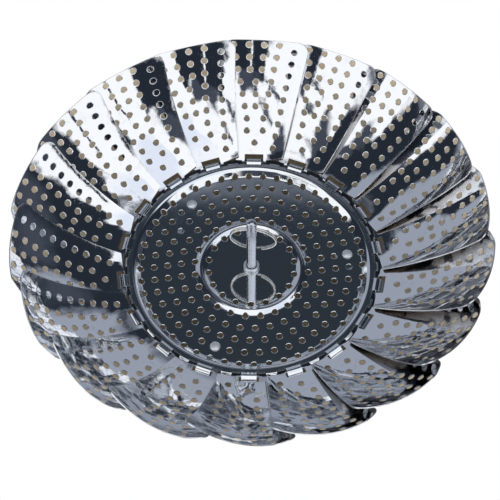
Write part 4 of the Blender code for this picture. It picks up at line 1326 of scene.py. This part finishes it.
def studio():
    """The world: white to the camera, and bright and dark areas of a studio to the steel."""
    world = bpy.data.worlds.new("studio")
    bpy.context.scene.world = world
    nodes = Nodes(world)
    way = nodes.make("ShaderNodeTexCoord", output=0)
    split = nodes.make("ShaderNodeSeparateXYZ", {}, {0: way})
    parts = [Wire(nodes, socket) for socket in split.socket.node.outputs]
    azimuth = parts[1].math("ARCTAN2", parts[1], parts[0]) * DEGREES
    elevation = parts[2].math("ARCSINE", parts[2]) * DEGREES
    wavy_azimuth = azimuth + (nodes.noise(way, *AZIMUTH_WAVES) - 0.5) * AZIMUTH_SWAY
    wavy_elevation = elevation + (nodes.noise(way, *ELEVATION_WAVES) - 0.5) * ELEVATION_SWAY
    clouds = nodes.noise(way, *DAPPLES)
    dappled = nodes.blend(NAVY, GREY, clouds.step(*GREY_STEP))
    dappled = nodes.blend(dappled, LAVENDER, clouds.step(*LAVENDER_STEP))
    colour = nodes.blend(GREY, dappled, area_share(azimuth, elevation, DAPPLED_AREA))
    for *area, shade in WIDE_AREAS:
        colour = nodes.blend(colour, shade, area_share(wavy_azimuth, wavy_elevation, area))
    for *area, shade in NARROW_AREAS:
        colour = nodes.blend(colour, shade, area_share(azimuth, elevation, area))
    seen = nodes.make("ShaderNodeLightPath", output=0)
    colour = nodes.blend(colour, (1, 1, 1), seen)
    light = nodes.make("ShaderNodeBackground", {}, {"Color": colour, "Strength": 1})
    nodes.make("ShaderNodeOutputWorld", {}, {"Surface": light})


def way_from(azimuth, elevation):
    """A direction from its azimuth and elevation."""
    return Vector((cos(elevation) * cos(azimuth), cos(elevation) * sin(azimuth), sin(elevation)))


LAMP_BACK = way_from(radians(-86), radians(60))
LAMP_DISTANCE = 2.0
LAMP_SIZE = 1.0
LAMP_POWER = 26
CAMERA_BACK = way_from(radians(-88.86), radians(57.74))
CAMERA_AIM = Vector((0, 0, 0.0419))
CAMERA_DISTANCE = 0.7495
CAMERA_PLACE = CAMERA_AIM + CAMERA_BACK * CAMERA_DISTANCE
CAMERA_LENS = 107.6
CAMERA_SENSOR = 36
CAMERA_SHIFT = (-0.0030, 0.0268)
CAMERA_NEAREST = 0.01


def key_light():
    """One large soft lamp high on the near side, which the steel doesn't mirror."""
    lamp = bpy.data.lights.new("key_light", "AREA")
    lamp.shape = "DISK"
    lamp.size = LAMP_SIZE
    lamp.energy = LAMP_POWER
    thing = bpy.data.objects.new("key_light", lamp)
    bpy.context.scene.collection.objects.link(thing)
    thing.location = LAMP_BACK * LAMP_DISTANCE
    thing.rotation_euler = (-LAMP_BACK).to_track_quat("-Z", "Y").to_euler()
    thing.visible_glossy = False
    thing.visible_camera = False


OPEN_FLOOR = (0.84, 0.84, 0.84)
# Painted reflection: the floor is painted dark grey for the steel's mirror rays
PAINTED_MIRRORED_FLOOR = (0.14, 0.15, 0.17)
PAINTED_SHADOW_FLOOR = (0.50, 0.41, 0.28), (0.62, 0.52, 0.38)
# The round patches of painted shadow, brown and near black, that show through the plate, each over
# those before it: how far its middle lies to the far side, its radius, how soft its edge is, and
# its two shades
PAINTED_SHADOW_PATCHES = (
    (0.0270, 0.0745, 0.0015, (0.19, 0.145, 0.085), (0.26, 0.205, 0.130)),
    (0.0265, 0.0690, 0.0008, (0.030, 0.034, 0.042), (0.045, 0.050, 0.060)),
    (0.0245, 0.0630, 0.0010, (0.15, 0.118, 0.075), (0.25, 0.20, 0.135)),
)
FLOOR_GRAIN = (45, 3)  # scale and detail
GRAIN_STEP = (0.35, 0.65)
FLOOR_REACH = 3.0
FLOOR_LEVEL = -0.0002
FLOOR_LAYER = 0.000005  # between one of the floor's sheets and the next
COVER_MIDDLE = np.array([0.006, 0.030])  # of a petal, about which its painted shadow is a little smaller
COVER_SHARES = (0.955, 0.965)
COVER_RADIUS = 0.0735  # of the plate's painted shadow
COVER_SIDES = 72


def in_patch(nodes, where, out, radius, edge):
    """How much of a place on the floor lies in a round patch of it, from 0 to 1."""
    inputs = {0: where, 1: (0, out, 0)}
    offset = nodes.make("ShaderNodeVectorMath", {"operation": "SUBTRACT"}, inputs)
    distance = nodes.make("ShaderNodeVectorMath", {"operation": "LENGTH"}, {0: offset}, 1)
    return distance.step(radius + edge, radius - edge)


def floor_paint(name, covered):
    """The floor's paint: white to the camera where open, a painted warm shadow where the basket
    covers it, and painted dark grey where the steel mirrors it.
    """
    paint = bpy.data.materials.new(name)
    nodes = Nodes(paint)
    where = nodes.make("ShaderNodeTexCoord", output=3)
    grain = nodes.noise(where, *FLOOR_GRAIN).step(*GRAIN_STEP)
    # Painted shadow: warm tan under the petals, and brown with a near-black ring under the plate
    colour = nodes.blend(*PAINTED_SHADOW_FLOOR, grain) if covered else OPEN_FLOOR
    for out, radius, edge, dark, light in PAINTED_SHADOW_PATCHES if covered else ():
        share = in_patch(nodes, where, out, radius, edge)
        colour = nodes.blend(colour, nodes.blend(dark, light, grain), share)
    # Painted reflection: to the steel's mirror rays the floor is painted dark grey
    mirrored = nodes.make("ShaderNodeLightPath", output=3)
    colour = nodes.blend(colour, PAINTED_MIRRORED_FLOOR, mirrored)
    shader = nodes.make("ShaderNodeBsdfDiffuse", {}, {"Color": colour})
    if not covered:
        seen = nodes.make("ShaderNodeLightPath", output=0)
        white = nodes.make("ShaderNodeEmission", {}, {"Color": (1, 1, 1, 1), "Strength": 1})
        shader = nodes.make("ShaderNodeMixShader", {}, {0: seen, 1: shader, 2: white})
    nodes.make("ShaderNodeOutputMaterial", {}, {"Surface": shader})
    return paint


def floor_behind(points):
    """Where on the floor the camera would see points that stand above it."""
    rise = points[:, 2:] / (CAMERA_PLACE.z - points[:, 2:])
    return points[:, :2] + (points[:, :2] - np.array(CAMERA_PLACE.xy)) * rise


def painted_shadow_areas():
    """Outlines on the floor, just inside those of the petals and of the plate as the camera sees
    them, that are painted with the basket's shadow."""
    outline = petal_outline()
    across, along = ((outline - COVER_MIDDLE) * COVER_SHARES + COVER_MIDDLE).T
    radius, height, slope = petal_profile(np.maximum(along, -LIP_BEND))
    lift = petal_lift(across, along)
    out, level = radius - lift * np.sin(slope), SLOT_LEVEL + height + lift * np.cos(slope)
    areas = []
    for number in range(PETAL_COUNT):
        azimuth = pi / 2 - number * PETAL_STEP
        c, s = cos(azimuth), sin(azimuth)
        areas.append(floor_behind(np.stack([out * c + across * s, out * s - across * c, level], 1)))
    plate = circle(COVER_RADIUS, COVER_SIDES)
    areas.append(floor_behind(np.column_stack([plate, np.full(COVER_SIDES, SLOT_LEVEL)])))
    return areas


def studio_floor():
    """A plain pale floor, and on it a sheet of painted warm shadow that the basket's holes show."""
    reach = FLOOR_REACH
    corners = [(-reach, -reach), (reach, -reach), (reach, reach), (-reach, reach)]
    sheets = [("studio_floor", [corners], floor_paint("open_floor", False))]
    sheets.append(("painted_basket_shadow", painted_shadow_areas(), floor_paint("painted_shadow_paint", True)))
    level = FLOOR_LEVEL
    for name, areas, paint in sheets:
        vertices, faces = [], []
        for area in areas:
            faces.append(list(range(len(vertices), len(vertices) + len(area))))
            vertices += [(x, y, level) for x, y in area]
            level += FLOOR_LAYER
        mesh = bpy.data.meshes.new(name)
        mesh.from_pydata(vertices, [], faces)
        mesh.materials.append(paint)
        floor = bpy.data.objects.new(name, mesh)
        bpy.context.scene.collection.objects.link(floor)


def camera():
    """The photograph's view: from the near side, well above the basket."""
    data = bpy.data.cameras.new("camera")
    thing = bpy.data.objects.new("camera", data)
    bpy.context.scene.collection.objects.link(thing)
    thing.location = CAMERA_PLACE
    thing.rotation_euler = (-CAMERA_BACK).to_track_quat("-Z", "Y").to_euler()
    data.lens = CAMERA_LENS
    data.sensor_width = CAMERA_SENSOR
    data.shift_x, data.shift_y = CAMERA_SHIFT
    data.clip_start = CAMERA_NEAREST
    bpy.context.scene.camera = thing


def main():
    petals()
    base_plate()
    center_post()
    post_collar()
    post_nut()
    lifting_ring()
    legs()
    studio()
    key_light()
    studio_floor()
    camera()
    bpy.context.scene.view_settings.view_transform = "Standard"


main()
